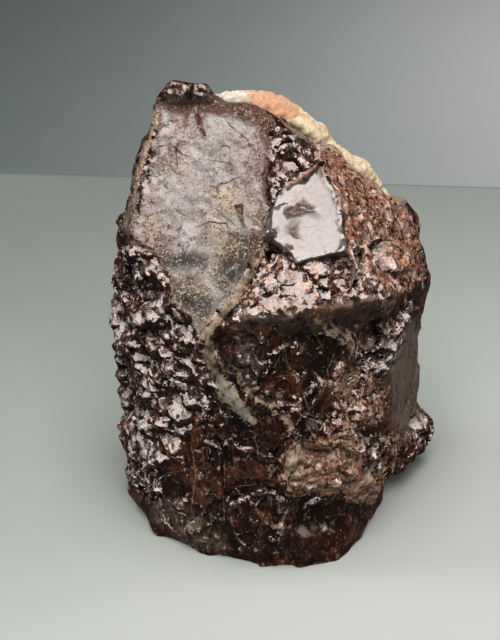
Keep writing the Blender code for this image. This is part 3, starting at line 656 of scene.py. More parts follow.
class Shader:
    """Adds nodes to one material. An input is given by its socket's name, or by i and its number."""

    def __init__(self, name):
        self.material = bpy.data.materials.new(name)
        self.material.use_nodes = True
        self.tree = self.material.node_tree
        self.surface = self.tree.nodes["Principled BSDF"]

    def add(self, kind, settings=(), **inputs):
        node = self.tree.nodes.new(kind)
        for key, value in dict(settings).items():
            setattr(node, key, value)
        for key, value in inputs.items():
            numbered = key[0] == "i" and key[1:].isdigit()
            self.join(value, node.inputs[int(key[1:]) if numbered else key])
        return node

    def join(self, value, socket):
        if isinstance(value, bpy.types.NodeSocket):
            self.tree.links.new(value, socket)
        elif socket.type == "RGBA":
            socket.default_value = (*value[:3], 1.0)
        else:
            socket.default_value = value

    def attribute(self, name):
        return self.add("ShaderNodeAttribute", {"attribute_name": name}).outputs["Fac"]

    def noise(self, place, width, detail=4.0, roughness=0.55, distortion=0.0):
        """Noise from 0 to 1, width mm across."""
        node = self.add("ShaderNodeTexNoise", Vector=place, Scale=1.0 / (width * MM), Detail=detail,
                        Roughness=roughness, Distortion=distortion)
        return node.outputs["Fac"]

    def vector(self, operation, a, b=(0.0, 0.0, 0.0)):
        node = self.add("ShaderNodeVectorMath", {"operation": operation}, i0=a, i1=b)
        return node.outputs["Value" if operation == "DOT_PRODUCT" else "Vector"]

    def scaled(self, vector, scale):
        node = self.add("ShaderNodeVectorMath", {"operation": "SCALE"}, i0=vector, Scale=scale)
        return node.outputs["Vector"]

    def bent(self, place, width, reach):
        """The place, moved about by up to reach mm in waves width mm across."""
        node = self.add("ShaderNodeTexNoise", Vector=place, Scale=1.0 / (width * MM), Detail=3.0)
        shift = self.vector("SUBTRACT", node.outputs["Color"], (0.5, 0.5, 0.5))
        return self.vector("ADD", place, self.scaled(shift, 2.0 * reach * MM))

    def cells(self, place, width):
        return self.add("ShaderNodeTexVoronoi", Vector=place, Scale=1.0 / (width * MM)).outputs

    def maths(self, operation, a, b=0.0, c=0.0):
        return self.add("ShaderNodeMath", {"operation": operation}, i0=a, i1=b, i2=c).outputs[0]

    def times(self, *values):
        product = values[0]
        for value in values[1:]:
            product = self.maths("MULTIPLY", product, value)
        return product

    def plus(self, a, b, share=1.0):
        return self.maths("MULTIPLY_ADD", b, share, a)

    def less(self, a, b):
        """a where b is 0, nothing where b is 1."""
        return self.maths("MULTIPLY", a, self.maths("SUBTRACT", 1.0, b))

    def between(self, value, low, high):
        """0 at low, 1 at high, smooth between."""
        node = self.add("ShaderNodeMapRange", {"interpolation_type": "SMOOTHSTEP"}, Value=value)
        self.join(low, node.inputs["From Min"])
        self.join(high, node.inputs["From Max"])
        return node.outputs["Result"]

    def mix(self, factor, a, b):
        node = self.add("ShaderNodeMix", {"data_type": "RGBA"}, i0=factor, i6=a, i7=b)
        return node.outputs[2]

    def mix_value(self, factor, a, b):
        node = self.add("ShaderNodeMix", {"data_type": "FLOAT"}, i0=factor, i2=a, i3=b)
        return node.outputs[0]

    def finish(self, colour, roughness, height, normal, depth, strength, index):
        """Joins the colour, the gloss and the bumps to the surface, and returns the material."""
        bump = self.add("ShaderNodeBump", Height=height, Normal=normal, Distance=depth * MM,
                        Strength=strength)
        self.join(colour, self.surface.inputs["Base Color"])
        self.join(roughness, self.surface.inputs["Roughness"])
        self.join(bump.outputs[0], self.surface.inputs["Normal"])
        self.surface.inputs["IOR"].default_value = index
        return self.material

    def dots(self, place, width, size, share):
        """Round specks, size cells across, in a share of the cells."""
        cell = self.cells(place, width)
        chosen = self.vector("DOT_PRODUCT", cell["Color"], (1.0, 0.0, 0.0))
        near = self.between(cell["Distance"], size, size * 0.6)
        return self.times(near, self.between(chosen, share, share - 0.02))

    def line(self, name, soft):
        """The fine lines stored by store_lines under this name."""
        side = self.maths("SUBTRACT", self.attribute(name + "_side"), 0.5)
        away = self.times(self.maths("ABSOLUTE", side), 2.0 * LINE_SPAN)
        wide = self.attribute(name + "_wide")
        outer = self.plus(self.times(wide, LINE_SPAN + soft), 0.001)
        return self.between(away, outer, self.times(wide, LINE_SPAN * 0.4))


# --- The mass ----------------------------------------------------------------------------------

BASE_FADE = 3.5  # mm above the base, where the breaks reach their full depth


def cut_ribs(zones):
    """Raised edges, in mm."""
    rise = np.zeros(len(zones.exact))
    for height, half, course in RIBS.values():
        away = np.abs(side_of(zones.places, course)) / half
        rise = np.maximum(rise, height * np.clip(1.0 - away**1.5, 0.0, 1.0))
    return rise * zones.front


def cut_steps(zones):
    """Undercut steps, in mm."""
    drop = np.zeros(len(zones.exact))
    for depth, reach, course in STEPS.values():
        below = -side_of(zones.places, course)
        across = zones.places[:, 0]
        between_ends = ramp(course[0][0] - 0.8, course[0][0], across) * ramp(
            course[-1][0] + 0.8, course[-1][0], across)
        drop += depth * np.where(below > 0.0, np.clip(1.0 - below / reach, 0.0, 1.0), 0.0) * between_ends
    return drop * zones.front


def cut_facets(points, normals, zones):
    """How far, in mm, to move each point onto the small flat facets."""
    move = np.zeros(len(points))
    for number, outline in enumerate(FACETS.values()):
        weight = ramp(-0.12, 0.12, depth_inside(zones.exact, outline)) * zones.front
        core = weight > CORE
        if not core.any():
            continue
        look = GLANCE + np.array((0.05 * (number % 3 - 1), 0.0, 0.04 * (number % 2)))
        faced = np.maximum(normals @ look, 0.35)
        level = -((points - points[core].mean(axis=0)) @ look) / faced
        move += np.clip(level, -1.4, 1.4) * weight
    return move


def carve_mass(obj, look):
    """Cuts the breaks: flat ones, shell-shaped hollows, overlapping crags and fine chips."""
    mesh = obj.data
    points, normals = points_of(mesh)
    edges = edges_of(mesh)
    underside = (normals[:, 2] < -0.8) & (points[:, 2] < 0.4)
    points = relax(points, edges, 6)
    put_points(mesh, points)
    points, normals = points_of(mesh)
    zones = Zones(points, normals)
    weight = zones.weight
    satin, mirror, side = weight("satin", 0.8), weight("mirror", 0.25, 0.5), weight("side_plane")
    for zone in (mirror, side):
        points = flatten(points, zone)
    points += (flatten(points, satin) - points) * 0.6
    put_points(mesh, points)
    points, normals = points_of(mesh)
    normals = unit(relax(normals, edges, 10))

    calm = np.max([satin, mirror, side * 0.9, weight("ledge_under") * 0.7], axis=0)
    back = 1.0 - zones.front
    rough_back = ramp(-0.15, 0.35, rumble(points, 15.0, 2, 71)) * back
    scales = np.maximum(weight("left_rough"), rough_back) * (1.0 - calm)
    glitter = np.maximum(zones.most(("hollow", "glint_edge", "left_step")),
                         np.maximum(zones.most(("sparkle_band", "peak")) * 0.6, weight("upper_right") * 0.4))
    glitter *= 1.0 - calm
    lumpy = np.maximum(zones.most(("rust", "right_lump")), weight("front_dust", 1.5) * 0.5) * (1.0 - calm)
    face = np.maximum(weight("front_face"), weight("lower_front"))
    plain = (1.0 - calm) * (1.0 - scales) * (1.0 - glitter) * (1.0 - lumpy)

    wide = look.crag_width / MM
    deep = look.shell_depth / MM

    def only(where, heights):
        """Heights, worked out only where they count."""
        cut = where > 0.01
        height = np.zeros(len(points))
        height[cut] = heights(cut)
        return height * where

    def broken(where, size, spread, under, relief, seed, long=1.0):
        return only(where, lambda cut: crags(
            points[cut] / (long, 1.0, 1.0), normals[cut], zones.front[cut], wide * size, spread, under,
            relief, seed))

    def packed(where, size, seed, long=1.0):
        return only(where, lambda cut: crumbs(points[cut] / (long, 1.0, 1.0), wide * size, seed))

    chipped = face * ramp(-0.1, 0.3, rumble(points, 5.0, 2, 151))
    move = (packed(scales, 1.0, 23, 1.3) * 0.9 + broken(scales, 0.45, 0.3, 0.5, 0.4, 47, 1.3)
            + packed(glitter, 0.8, 53) * 0.8 + broken(glitter, 0.36, 0.3, 0.6, 0.4, 59)
            + packed(lumpy, 1.0, 61) * 0.9 + broken(lumpy, 0.5, 0.5, 0.8, 0.6, 67)
            + packed(plain, 0.9, 79) * 0.2 + broken(chipped, 0.5, 0.4, 0.7, 0.3, 83, 1.4) * 0.8)
    move += shells(points, 9.0, 0.35, 0.9, 3) * 0.20 * deep * plain * (1.0 - 0.3 * weight("lower_front"))
    move += shells(points, 3.4, 0.50, 0.8, 11) * 0.14 * plain * (1.0 - 0.3 * face)
    move += shells(points, 1.2, 0.60, 0.7, 31) * 0.10 * (1.0 - calm) * (1.0 - 0.3 * np.maximum(face, scales))
    bent = points + np.stack([rumble(points, 4.0, 2, seed) for seed in (131, 137, 139)], axis=1) * 1.6
    stepped = (plates(bent, 6.5, 0.13, 191) + plates(bent, 2.4, 0.10, 157)) * face
    move += stepped + rumble(points, 3.5, 3, 163) * 0.035 * mirror
    move += (plates(bent, 5.0, 0.045, 37) + rumble(points, 6.0, 3, 61) * 0.22
             + plates(bent, 1.7, 0.05, 41) + rumble(points, 0.9, 2, 73) * 0.05) * satin
    move -= weight("dark_pocket", 1.4) * 1.1 + weight("brow_recess", 2.4) * 1.0 + weight("scoop", 1.2) * 0.5
    above_base = ramp(0.0, BASE_FADE, points[:, 2])
    move *= above_base
    move += shells(points, 1.0, 0.5, 0.7, 43) * 0.16 * (1.0 - above_base) * (1.0 - side)

    move += cut_ribs(zones) - cut_steps(zones)
    for outline, depth in CHIPS.values():
        move -= depth * ramp(0.0, 0.25, depth_inside(zones.exact + zones.shift * 0.2, outline)) * zones.front
    move += cut_facets(points + normals * move[:, None], normals, zones)
    direction = normals.copy()
    direction[:, 2] *= ramp(0.0, 1.6, points[:, 2])
    points = points + direction * move[:, None]
    points[:, 2] = np.where(underside, 0.0, np.maximum(points[:, 2], 0.0))
    put_points(mesh, points)


def store_lines(mesh, name, zones, courses):
    """Stores how far each point is from the nearest fine line, on which side, and how wide the line is."""
    wobble = zones.exact + zones.shift * 0.28
    nearest = np.full(len(wobble), np.inf)
    signed, wide = np.full(len(wobble), LINE_SPAN), np.zeros(len(wobble))
    for half, course in courses.values():
        side = side_of(wobble, course)
        ends = [np.linalg.norm(wobble - np.array(end), axis=1) for end in (course[0], course[-1])]
        own = half * (ramp(0.0, 1.2, np.minimum(*ends)) * 0.75 + 0.25 * (np.minimum(*ends) > 0.4))
        closer = np.abs(side) < nearest
        signed, wide = np.where(closer, side, signed), np.where(closer, own, wide)
        nearest = np.minimum(nearest, np.abs(side))
    wide *= ramp(LINE_SPAN * 0.95, LINE_SPAN * 0.6, nearest) * zones.front
    store(mesh, name + "_side", 0.5 + signed / (2.0 * LINE_SPAN))
    store(mesh, name + "_wide", wide / LINE_SPAN)


# Where each finish lies on the front: how strong, how wide its edge is in mm, and on which zones.
LAYERS = {
    "glitter": [(1.0, 0.8, "sparkle_band hollow glint_edge left_step"), (0.92, 0.8, "upper_right"),
                (0.8, 0.8, "rust front_dust"), (0.5, 0.8, "right_lump"), (0.2, 0.8, "peak"),
                (1.0, 0.6, "left_glints"), (0.3, 1.2, "front_face lower_front")],
    "bloom": [(0.5, 0.8, "sparkle_band"), (0.4, 0.8, "hollow"), (0.7, 0.8, "upper_right"),
              (0.8, 1.5, "front_dust"), (0.7, 1.2, "low_dust")],
    "grey": [(0.25, 0.8, "ledge_under"), (0.7, 0.6, "slate_top"), (0.6, 1.2, "grey_corner"),
             (1.0, 0.8, "green_patch"), (0.5, 1.0, "base_band")],
    "rust": [(0.86, 2.0, "rust"), (0.5, 1.0, "rim_rust"), (0.5, 0.8, "rust_column slab_top"),
             (0.46, 0.8, "upper_right"), (0.8, 0.3, "mirror_rim"), (1.0, 0.8, "pink_foot"),
             (0.28, 0.8, "sparkle_band"), (0.45, 1.5, "front_dust"), (0.4, 1.0, "brown_band"),
             (0.4, 0.3, "left_strip"), (0.15, 1.5, "side_plane")],
    "pale": [(0.84, 1.2, "vein"), (0.9, 0.6, "vein_top"), (0.95, 1.3, "vein_white"),
             (0.9, 0.9, "beige_patch"), (0.85, 1.0, "rim_pale"), (0.84, 1.8, "dust_band"),
             (0.62, 1.2, "brown_band"), (0.40, 1.5, "front_dust low_dust"), (0.50, 2.0, "rust"),
             (0.4, 0.8, "pink_foot"), (0.6, 0.3, "left_strip"), (0.4, 0.3, "mirror_rim")],
    "ochre": [(1.0, 1.2, "ochre_high ochre_low"), (1.0, 0.5, "left_strip orange_spots"), (0.6, 1.4, "olive"),
              (1.0, 0.4, "yellow_spots foot_stain")],
    "glow": [(1.0, 2.0, "glow_high glow_low")],
    "olive": [(1.0, 1.4, "olive"), (1.0, 0.8, "scoop")],
    "blue": [(1.0, 0.9, "blue_band")],
    "bright": [(1.0, 0.5, "lilac_patch"), (0.8, 1.0, "vein_white")],
    # Painted shade in the pocket, the recess under the brow and the hollow; darker glass on the front faces.
    "dark": [(1.0, 1.4, "dark_pocket"), (1.0, 1.0, "brow_recess"), (0.9, 0.8, "hollow"),
             (0.45, 1.2, "front_face lower_front")],
}


def store_layers(mesh, zones, extra):
    """Stores each layer: the most of its zones and of what extra gives beside them, times the share that
    extra says is kept."""
    for name, parts in LAYERS.items():
        spread = np.max([zones.most(where.split(), edge) * share for share, edge, where in parts], axis=0)
        beside, kept = extra.get(name, (0.0, 1.0))
        store(mesh, name, np.maximum(spread, beside) * kept)


def paint_mass(obj):
    """Stores where each finish lies."""
    mesh = obj.data
    points, normals = points_of(mesh)
    edges = edges_of(mesh)
    raised = standing_out(points, normals, edges)
    normals = unit(relax(normals, edges, 8))
    zones = Zones(points, normals)
    weight, most = zones.weight, zones.most
    back = 1.0 - zones.front
    scales = np.maximum(weight("left_rough"), ramp(-0.15, 0.35, rumble(points, 15.0, 2, 71)) * back)
    back_rust = ramp(0.25, 0.6, rumble(points, 11.0, 3, 83)) * back
    back_vein = ramp(0.88, 0.98, 1.0 - np.abs(rumble(points, 14.0, 3, 89))) * back
    back_film = ramp(0.30, 0.5, rumble(points, 19.0, 3, 97)) * back
    back_glow = rumble(points, 8.0, 2, 149) * back
    store_layers(mesh, zones, {
        "glitter": (scales * 1.08, 0.9 * (1.0 - 0.3 * weight("dark_pocket", 1.4))),
        "bloom": (scales * 0.45, 1.0),
        "grey": (weight("side_plane", 1.5, 1.2), 1.0),
        "rust": (back_rust, 1.0 - 0.6 * weight("gloss_lumps", 0.8)),
        "pale": (np.maximum(weight("ridge", 0.8, 0.3), back_vein * 0.8), 1.0),
        "glow": (back_glow, 1.0),
    })

    crest = np.maximum(weight("crest", 0.5), most(("crest_left", "crest_finger", "crest_point"), 0.3, 0.5))
    satin = np.maximum(weight("satin", 2.0) * (1.0 - 0.6 * weight("left_glints", 0.6)), crest * 1.2)
    border = ramp(3.6, 0.6, depth_inside(zones.places, ZONES["satin"])) * ramp(36.0, 42.0, zones.exact[:, 1])
    gleam = np.zeros(len(points))
    for half, course in GLEAMS.values():
        away = np.abs(side_of(zones.exact + zones.shift * 0.3, course))
        gleam = np.maximum(gleam, ramp(half * 1.2, half * 0.6, away))
    leafy = [outline for name, (outline, _) in CHIPS.items() if name.startswith(("leaf", "vee"))]
    leaves = np.max([ramp(-0.1, 0.1, depth_inside(zones.exact, outline)) for outline in leafy], axis=0)
    store(mesh, "satin", np.maximum(satin, back_film * 0.8))
    store(mesh, "border", np.maximum(border, weight("left_brown", 1.0) * 0.7))
    store(mesh, "brown", crest)
    store(mesh, "mirror", weight("mirror", 0.25, 0.5))
    store(mesh, "leaf", leaves * zones.front)
    store(mesh, "gleam", gleam * zones.front)
    store(mesh, "ahead", zones.front)
    store(mesh, "lift", normals[:, 2])
    store(mesh, "raised", raised)
    store_lines(mesh, "vein", zones, VEINS)
    store_lines(mesh, "crack", zones, CRACKS)


# Tints of the mass, as linear red, green and blue.
PITCH = (0.010, 0.003, 0.002)
DULL_FLAKE = (0.095, 0.060, 0.045)
BLOOM_RED = (0.22, 0.075, 0.035)
SLATE_BROWN = (0.19, 0.105, 0.07)
FINE_DUST = (0.25, 0.165, 0.115)
DUST_SPECK = (0.48, 0.38, 0.30)
FILM_PLATE = (0.40, 0.36, 0.345)
FILM_PALE_FLAKE = (0.54, 0.505, 0.50)
FILM_DARK_FLAKE = (0.24, 0.205, 0.19)
FILM_PATCH = (0.23, 0.185, 0.16)
FILM_PALE_SPECK = (0.70, 0.66, 0.63)
FILM_DARK_SPECK = (0.13, 0.095, 0.075)
FILM_BRIGHT = (0.68, 0.66, 0.67)
BLUE_BLACK = (0.030, 0.036, 0.040)
OLIVE_BLACK = (0.034, 0.026, 0.016)
CREST_DARK = (0.045, 0.010, 0.004)
CREST_RED = (0.22, 0.070, 0.035)
DIRT_DARK = (0.085, 0.032, 0.02)
DIRT_PALE = (0.20, 0.12, 0.08)
CREAM_DUST = (0.68, 0.60, 0.45)
RUST_PALE = (0.84, 0.49, 0.29)
RUST_DARK = (0.12, 0.036, 0.020)
RUST_GREY = (0.46, 0.33, 0.27)
PALE_DIRT = (0.15, 0.10, 0.07)
CHALK_WHITE = (0.60, 0.60, 0.55)
# Painted shade for the hollows.
HOLLOW_SHADE = (0.018, 0.007, 0.004)
# Pale edges: partly wear, partly painted highlight.
EDGE_WEAR_AND_HIGHLIGHT = (0.34, 0.24, 0.18)
HAIR_BEIGE = (0.44, 0.30, 0.22)
MIRROR_DARK = (0.10, 0.085, 0.08)
MIRROR_PALE = (0.17, 0.15, 0.145)
LEAF_DARK = (0.085, 0.035, 0.022)
LEAF_PALE = (0.26, 0.17, 0.13)
CRACK_BLACK = (0.022, 0.010, 0.007)
WARM_GLOSS = (1.0, 0.93, 0.89, 1.0)

MARKS = ("satin", "mirror", "glitter", "bloom", "glow", "ahead", "gleam", "grey", "rust", "pale", "ochre",
         "brown", "blue", "olive", "bright", "dark", "raised", "border", "lift", "leaf")


def marks_of_mass(s):
    """The stored marks, and the noises that the layers share."""
    m = SimpleNamespace(**{name: s.attribute(name) for name in MARKS})
    m.place = s.add("ShaderNodeTexCoord").outputs["Object"]
    m.clouds = s.noise(m.place, 5.0, 6.0, 0.6)
    m.patches = s.noise(m.place, 1.8, 5.0, 0.65, 0.6)
    m.grains = s.noise(m.place, 0.75, 4.0, 0.65)
    m.specks = s.noise(m.place, 0.34, 3.0, 0.7)
    m.turned = s.add("ShaderNodeMapping", Vector=m.place, Rotation=(0.2, 0.9, 0.1),
                     Scale=(1.0, 1.0, 0.16)).outputs[0]
    m.streaks = s.noise(m.turned, 2.6, 5.0, 0.6)
    return m


def body_colour(s, m, look):
    """Dark glass with a red glow, dull flakes, painted shade in the creases and recesses, a brown bloom, a
    grey film and fine dust.
    """
    flakes = s.cells(s.bent(m.place, 1.8, 0.9), 2.0)["Color"]
    flake = s.vector("DOT_PRODUCT", flakes, (1.0, 0.0, 0.0))
    dull = s.vector("DOT_PRODUCT", flakes, (0.0, 1.0, 0.0))
    fire = s.plus(s.plus(s.plus(m.clouds, m.patches, 0.25), m.grains, 0.15), flake, 0.08)
    fire = s.plus(fire, m.streaks, 0.8)
    body = s.mix(s.between(s.plus(fire, m.glow, 0.09), 1.14, 1.38), look.glass, look.ember)
    body = s.mix(s.times(s.between(fire, 1.10, 0.96), 0.8), body, PITCH)
    body = s.mix(s.times(s.between(s.plus(dull, m.patches, 0.8), 1.22, 1.26), 0.4), body, DULL_FLAKE)
    # Painted shade: the dark layer takes the glass to pitch in the pocket, the recess and the hollow, and
    # darkens the glass of the front faces.
    body = s.mix(s.times(m.dark, s.between(m.clouds, 0.62, 0.45), 0.7), body, PITCH)
    # Painted shade: the glass goes to pitch where the surface lies deepest between crags and chips.
    body = s.mix(s.times(s.between(m.raised, 0.42, 0.20), 0.8), body, PITCH)
    grainy = s.plus(s.plus(m.grains, m.specks, 0.5), m.raised, 0.35)
    m.bloomed = s.times(m.bloom, s.between(grainy, 0.86, 1.06))
    bloom_colour = s.mix(s.between(m.patches, 0.45, 0.60), look.earth, BLOOM_RED)
    body = s.mix(s.times(m.bloomed, 0.6), body, bloom_colour)
    m.greyed = s.times(m.grey, s.between(s.plus(m.grains, m.patches, 0.7), 0.58, 0.90))
    grey_colour = s.mix(s.between(m.streaks, 0.47, 0.66), look.slate, SLATE_BROWN)
    body = s.mix(s.times(m.greyed, 0.85), body, grey_colour)
    dusty = s.plus(s.plus(s.plus(m.specks, m.grains, 0.8), m.patches, 0.7), m.clouds, 0.4)
    m.dusty = s.between(dusty, 1.56, 1.68)
    body = s.mix(s.times(m.dusty, 0.6), body, FINE_DUST)
    return s.mix(s.times(s.dots(m.place, 0.85, 0.26, 0.22), 0.55), body, DUST_SPECK)


def film_colour(s, m, look):
    """The satin film: plates of slightly different greys, with stains, dirt and dust."""
    m.plate_tone = s.vector("DOT_PRODUCT", s.cells(s.bent(m.place, 3.0, 1.5), 4.0)["Color"], (1.0, 0.0, 0.0))
    flake_tone = s.vector("DOT_PRODUCT", s.cells(s.bent(m.place, 1.0, 0.6), 1.5)["Color"], (0.0, 1.0, 0.0))
    film = s.mix(s.times(m.plate_tone, 0.5), look.satin, FILM_PLATE)
    film = s.mix(s.times(s.between(flake_tone, 0.70, 0.76), 0.4), film, FILM_PALE_FLAKE)
    film = s.mix(s.times(s.between(flake_tone, 0.26, 0.20), 0.45), film, FILM_DARK_FLAKE)
    film = s.mix(s.times(s.between(m.patches, 0.51, 0.56), 0.6), film, FILM_PATCH)
    film = s.mix(s.times(s.between(m.specks, 0.56, 0.61), 0.45), film, FILM_PALE_SPECK)
    film = s.mix(s.times(s.between(s.plus(m.specks, m.grains, 0.6), 0.70, 0.63), 0.75), film, FILM_DARK_SPECK)
    film = s.mix(s.times(m.bright, 0.45), film, FILM_BRIGHT)
    ochred = s.times(m.ochre, s.between(s.plus(m.clouds, m.grains, 0.5), 0.62, 0.86), 0.5)
    film = s.mix(ochred, film, look.ochre)
    uneven = s.plus(m.grains, m.patches, 0.6)
    film = s.mix(s.times(m.blue, s.between(uneven, 0.56, 0.80), 0.95), film, BLUE_BLACK)
    film = s.mix(s.times(m.olive, s.between(uneven, 0.58, 0.78), 0.95), film, OLIVE_BLACK)
    m.browned = s.times(m.brown, s.between(s.plus(m.grains, m.specks, 0.8), 0.68, 0.84))
    film = s.mix(m.browned, film, s.mix(s.between(m.specks, 0.46, 0.58), CREST_DARK, CREST_RED))
    dirty = s.plus(s.plus(s.plus(m.patches, m.grains, 0.7), m.clouds, 0.35), m.border, 0.20)
    dirt_colour = s.mix(s.between(m.specks, 0.45, 0.55), DIRT_DARK, DIRT_PALE)
    film = s.mix(s.times(s.between(dirty, 1.09, 1.14), 0.85), film, dirt_colour)
    stained = s.maths("MAXIMUM", m.ochre, s.times(m.olive, 0.4))
    cream = s.plus(s.plus(s.plus(m.specks, m.grains, 0.6), m.clouds, 0.6), stained, 0.08)
    m.cream = s.between(cream, 1.20, 1.27)
    return s.mix(s.times(m.cream, 0.7), film, CREAM_DUST)


def stained_colour(s, m, look, colour):
    """Rust and pale stains over the colour, then painted shade in the hollows and pale edges that are partly
    wear and partly painted highlight.
    """
    rusty = s.plus(s.plus(s.plus(m.rust, m.patches, 1.0), m.grains, 1.2), m.specks, 0.8)
    m.rusty = s.between(rusty, 1.82, 2.02)
    rust_colour = s.mix(s.between(m.specks, 0.46, 0.60), look.rust, RUST_PALE)
    rust_colour = s.mix(s.times(s.between(m.grains, 0.52, 0.42), 0.85), rust_colour, RUST_DARK)
    rust_colour = s.mix(s.times(s.between(m.clouds, 0.50, 0.60), 0.4), rust_colour, RUST_GREY)
    colour = s.mix(s.times(m.rusty, 0.85), colour, rust_colour)
    paled = s.plus(s.plus(s.plus(m.pale, m.patches, 1.3), m.grains, 1.2), m.specks, 0.6)
    m.paled = s.between(paled, 1.98, 2.20)
    pale_colour = s.mix(s.between(m.specks, 0.4, 0.6), look.ochre, look.vein)
    pale_colour = s.mix(s.times(s.between(m.grains, 0.52, 0.42), 0.75), pale_colour, PALE_DIRT)
    chalked = s.times(m.bright, s.between(s.plus(m.patches, m.grains, 0.8), 0.76, 0.96), 0.9)
    pale_colour = s.mix(s.less(chalked, m.worn), pale_colour, CHALK_WHITE)
    colour = s.mix(s.times(m.paled, 0.85), colour, pale_colour)
    # Painted shade: the hollows go deep brown wherever the film is gone.
    colour = s.mix(s.less(s.times(s.between(m.raised, 0.44, 0.22), 0.75), m.worn), colour, HOLLOW_SHADE)
    # Pale highest ridges, partly edge wear and partly painted highlight.
    uneven = s.between(s.plus(m.grains, m.patches, 0.8), 0.86, 1.02)
    m.edged = s.times(s.between(m.raised, 0.60, 0.78), uneven)
    return s.mix(s.less(s.times(m.edged, 0.5), m.worn), colour, EDGE_WEAR_AND_HIGHLIGHT)


def lined_colour(s, m, look, colour):
    """Hairlines, scattered and drawn, the coated mirror facet, the chipped leaves and the cracks."""
    wisps = s.maths("ABSOLUTE", s.maths("SUBTRACT", s.noise(m.turned, 2.2, 3.0, 0.6), 0.5))
    hair = s.times(s.between(wisps, 0.014, 0.005), s.between(s.noise(m.place, 3.0, 2.0), 0.48, 0.56))
    m.hair = s.less(hair, m.worn)
    drawn = s.times(s.line("vein", 0.10), s.between(m.grains, 0.34, 0.48))
    colour = s.mix(s.times(m.hair, 0.45), colour, HAIR_BEIGE)
    colour = s.mix(s.times(drawn, 0.75), colour, s.mix(s.between(m.specks, 0.4, 0.6), look.earth, look.vein))
    colour = s.mix(m.mirror, colour, s.mix(s.between(m.grains, 0.3, 0.6), MIRROR_DARK, MIRROR_PALE))
    m.leafed = s.times(m.leaf, s.between(m.grains, 0.36, 0.44))
    colour = s.mix(m.leafed, colour, s.mix(s.between(m.specks, 0.45, 0.6), LEAF_DARK, LEAF_PALE))
    m.crack = s.times(s.line("crack", 0.08), s.between(m.specks, 0.35, 0.5))
    return s.mix(s.times(m.crack, 0.85), colour, CRACK_BLACK)


def gloss(s, m):
    """Roughness of each layer."""
    roughness = s.mix_value(s.between(m.grains, 0.4, 0.7), 0.12, 0.26)
    roughness = s.mix_value(m.bloomed, roughness, 0.36)
    matt = s.maths("MAXIMUM", s.maths("MAXIMUM", m.browned, m.cream), s.maths("MAXIMUM", m.blue, m.olive))
    film_roughness = s.mix_value(matt, s.mix_value(m.plate_tone, 0.50, 0.40), 0.9)
    roughness = s.mix_value(m.worn, roughness, s.mix_value(m.ochre, film_roughness, 0.75))
    roughness = s.mix_value(s.maths("MAXIMUM", m.rusty, m.paled), roughness, 0.65)
    roughness = s.mix_value(m.dusty, roughness, 0.6)
    roughness = s.mix_value(m.greyed, roughness, 0.40)
    return s.mix_value(m.leafed, s.mix_value(m.mirror, roughness, 0.20), 0.85)


def glinting_normal(s, m):
    """Glints: small flat facets, mostly where the surface rises, that lean up and out."""
    normal = s.add("ShaderNodeNewGeometry").outputs["Normal"]
    facet = s.cells(s.bent(m.place, 1.1, 0.4), 1.0)["Color"]
    lean = s.vector("SUBTRACT", facet, (0.5, 0.5, 0.5))
    rising = s.plus(s.vector("DOT_PRODUCT", normal, (0.0, 0.0, 1.0)), m.lift, -1.0)
    cluster = s.noise(s.vector("MULTIPLY", m.place, (0.8, 0.8, 1.3)), 2.2, 4.0)
    pick = s.plus(s.plus(s.vector("DOT_PRODUCT", facet, (0.0, 0.4, 0.0)), rising, 0.8), cluster, 3.0)
    picked = s.between(s.plus(pick, m.glitter, 1.333), 2.98, 3.06)
    chosen = s.maths("MAXIMUM", picked, s.times(m.edged, s.between(m.glitter, 0.0, 0.6)))
    chosen = s.less(s.less(s.less(chosen, m.worn), s.times(m.rusty, 0.4)), s.times(m.paled, 0.7))
    m.chosen = s.maths("MAXIMUM", chosen, s.times(m.gleam, s.between(m.grains, 0.40, 0.46)))
    outward = s.vector("ADD", s.vector("MULTIPLY", normal, (0.65, 0.65, 0.0)), (0.0, 0.0, 0.76))
    behind = s.scaled(outward, s.maths("SUBTRACT", 1.0, m.ahead))
    look_up = s.vector("ADD", behind, s.scaled((0.0, -0.62, 0.78), m.ahead))
    look_up = s.vector("ADD", look_up, s.scaled(lean, 0.31))
    leaning = s.scaled(lean, s.times(s.less(m.glitter, m.worn), 0.3))
    normal = s.vector("ADD", s.vector("ADD", normal, leaning), s.scaled(look_up, s.times(m.chosen, 7.0)))
    return s.vector("NORMALIZE", normal)


def glassy_finish(look):
    """Glassy red-brown mineral, with its film, bloom, stains, veins and sparkles."""
    s = Shader("glassy_samarskite")
    m = marks_of_mass(s)
    m.worn = s.between(s.plus(s.plus(m.satin, m.grains, 1.4), m.patches, 1.6), 1.96, 2.10)
    colour = s.mix(m.worn, body_colour(s, m, look), film_colour(s, m, look))
    colour = lined_colour(s, m, look, stained_colour(s, m, look, colour))
    roughness = gloss(s, m)
    normal = glinting_normal(s, m)
    height = s.plus(s.plus(m.grains, m.specks, 0.5), s.maths("MAXIMUM", m.crack, m.hair), -0.5)
    strength = s.mix_value(m.worn, s.mix_value(m.chosen, 0.45, 0.30), 0.8)
    strength = s.mix_value(m.mirror, strength, 0.08)
    roughness = s.mix_value(m.chosen, roughness, 0.12)
    s.surface.inputs["Specular Tint"].default_value = WARM_GLOSS
    return s.finish(colour, roughness, height, normal, depth=0.14, strength=strength, index=2.0)


class SPECIMEN_OT_mass(bpy.types.Operator):
    """Makes the glassy mass with its breaks, crags, film and stains"""

    bl_idname = "specimen.mass"
    bl_label = "Glassy mass"

    def execute(self, context):
        look = context.scene.specimen_mass
        obj = fine_copy("samarskite_mass", "glassy_mass", look.grid)
        carve_mass(obj, look)
        thin_down(obj, look.triangles)
        paint_mass(obj)
        obj.data.shade_smooth()
        obj.data.set_sharp_from_angle(angle=radians(30.0))
        obj.data.materials.append(glassy_finish(look))
        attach(obj, "root")
        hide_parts("samarskite_mass")
        return {"FINISHED"}


# --- The rind ----------------------------------------------------------------------------------


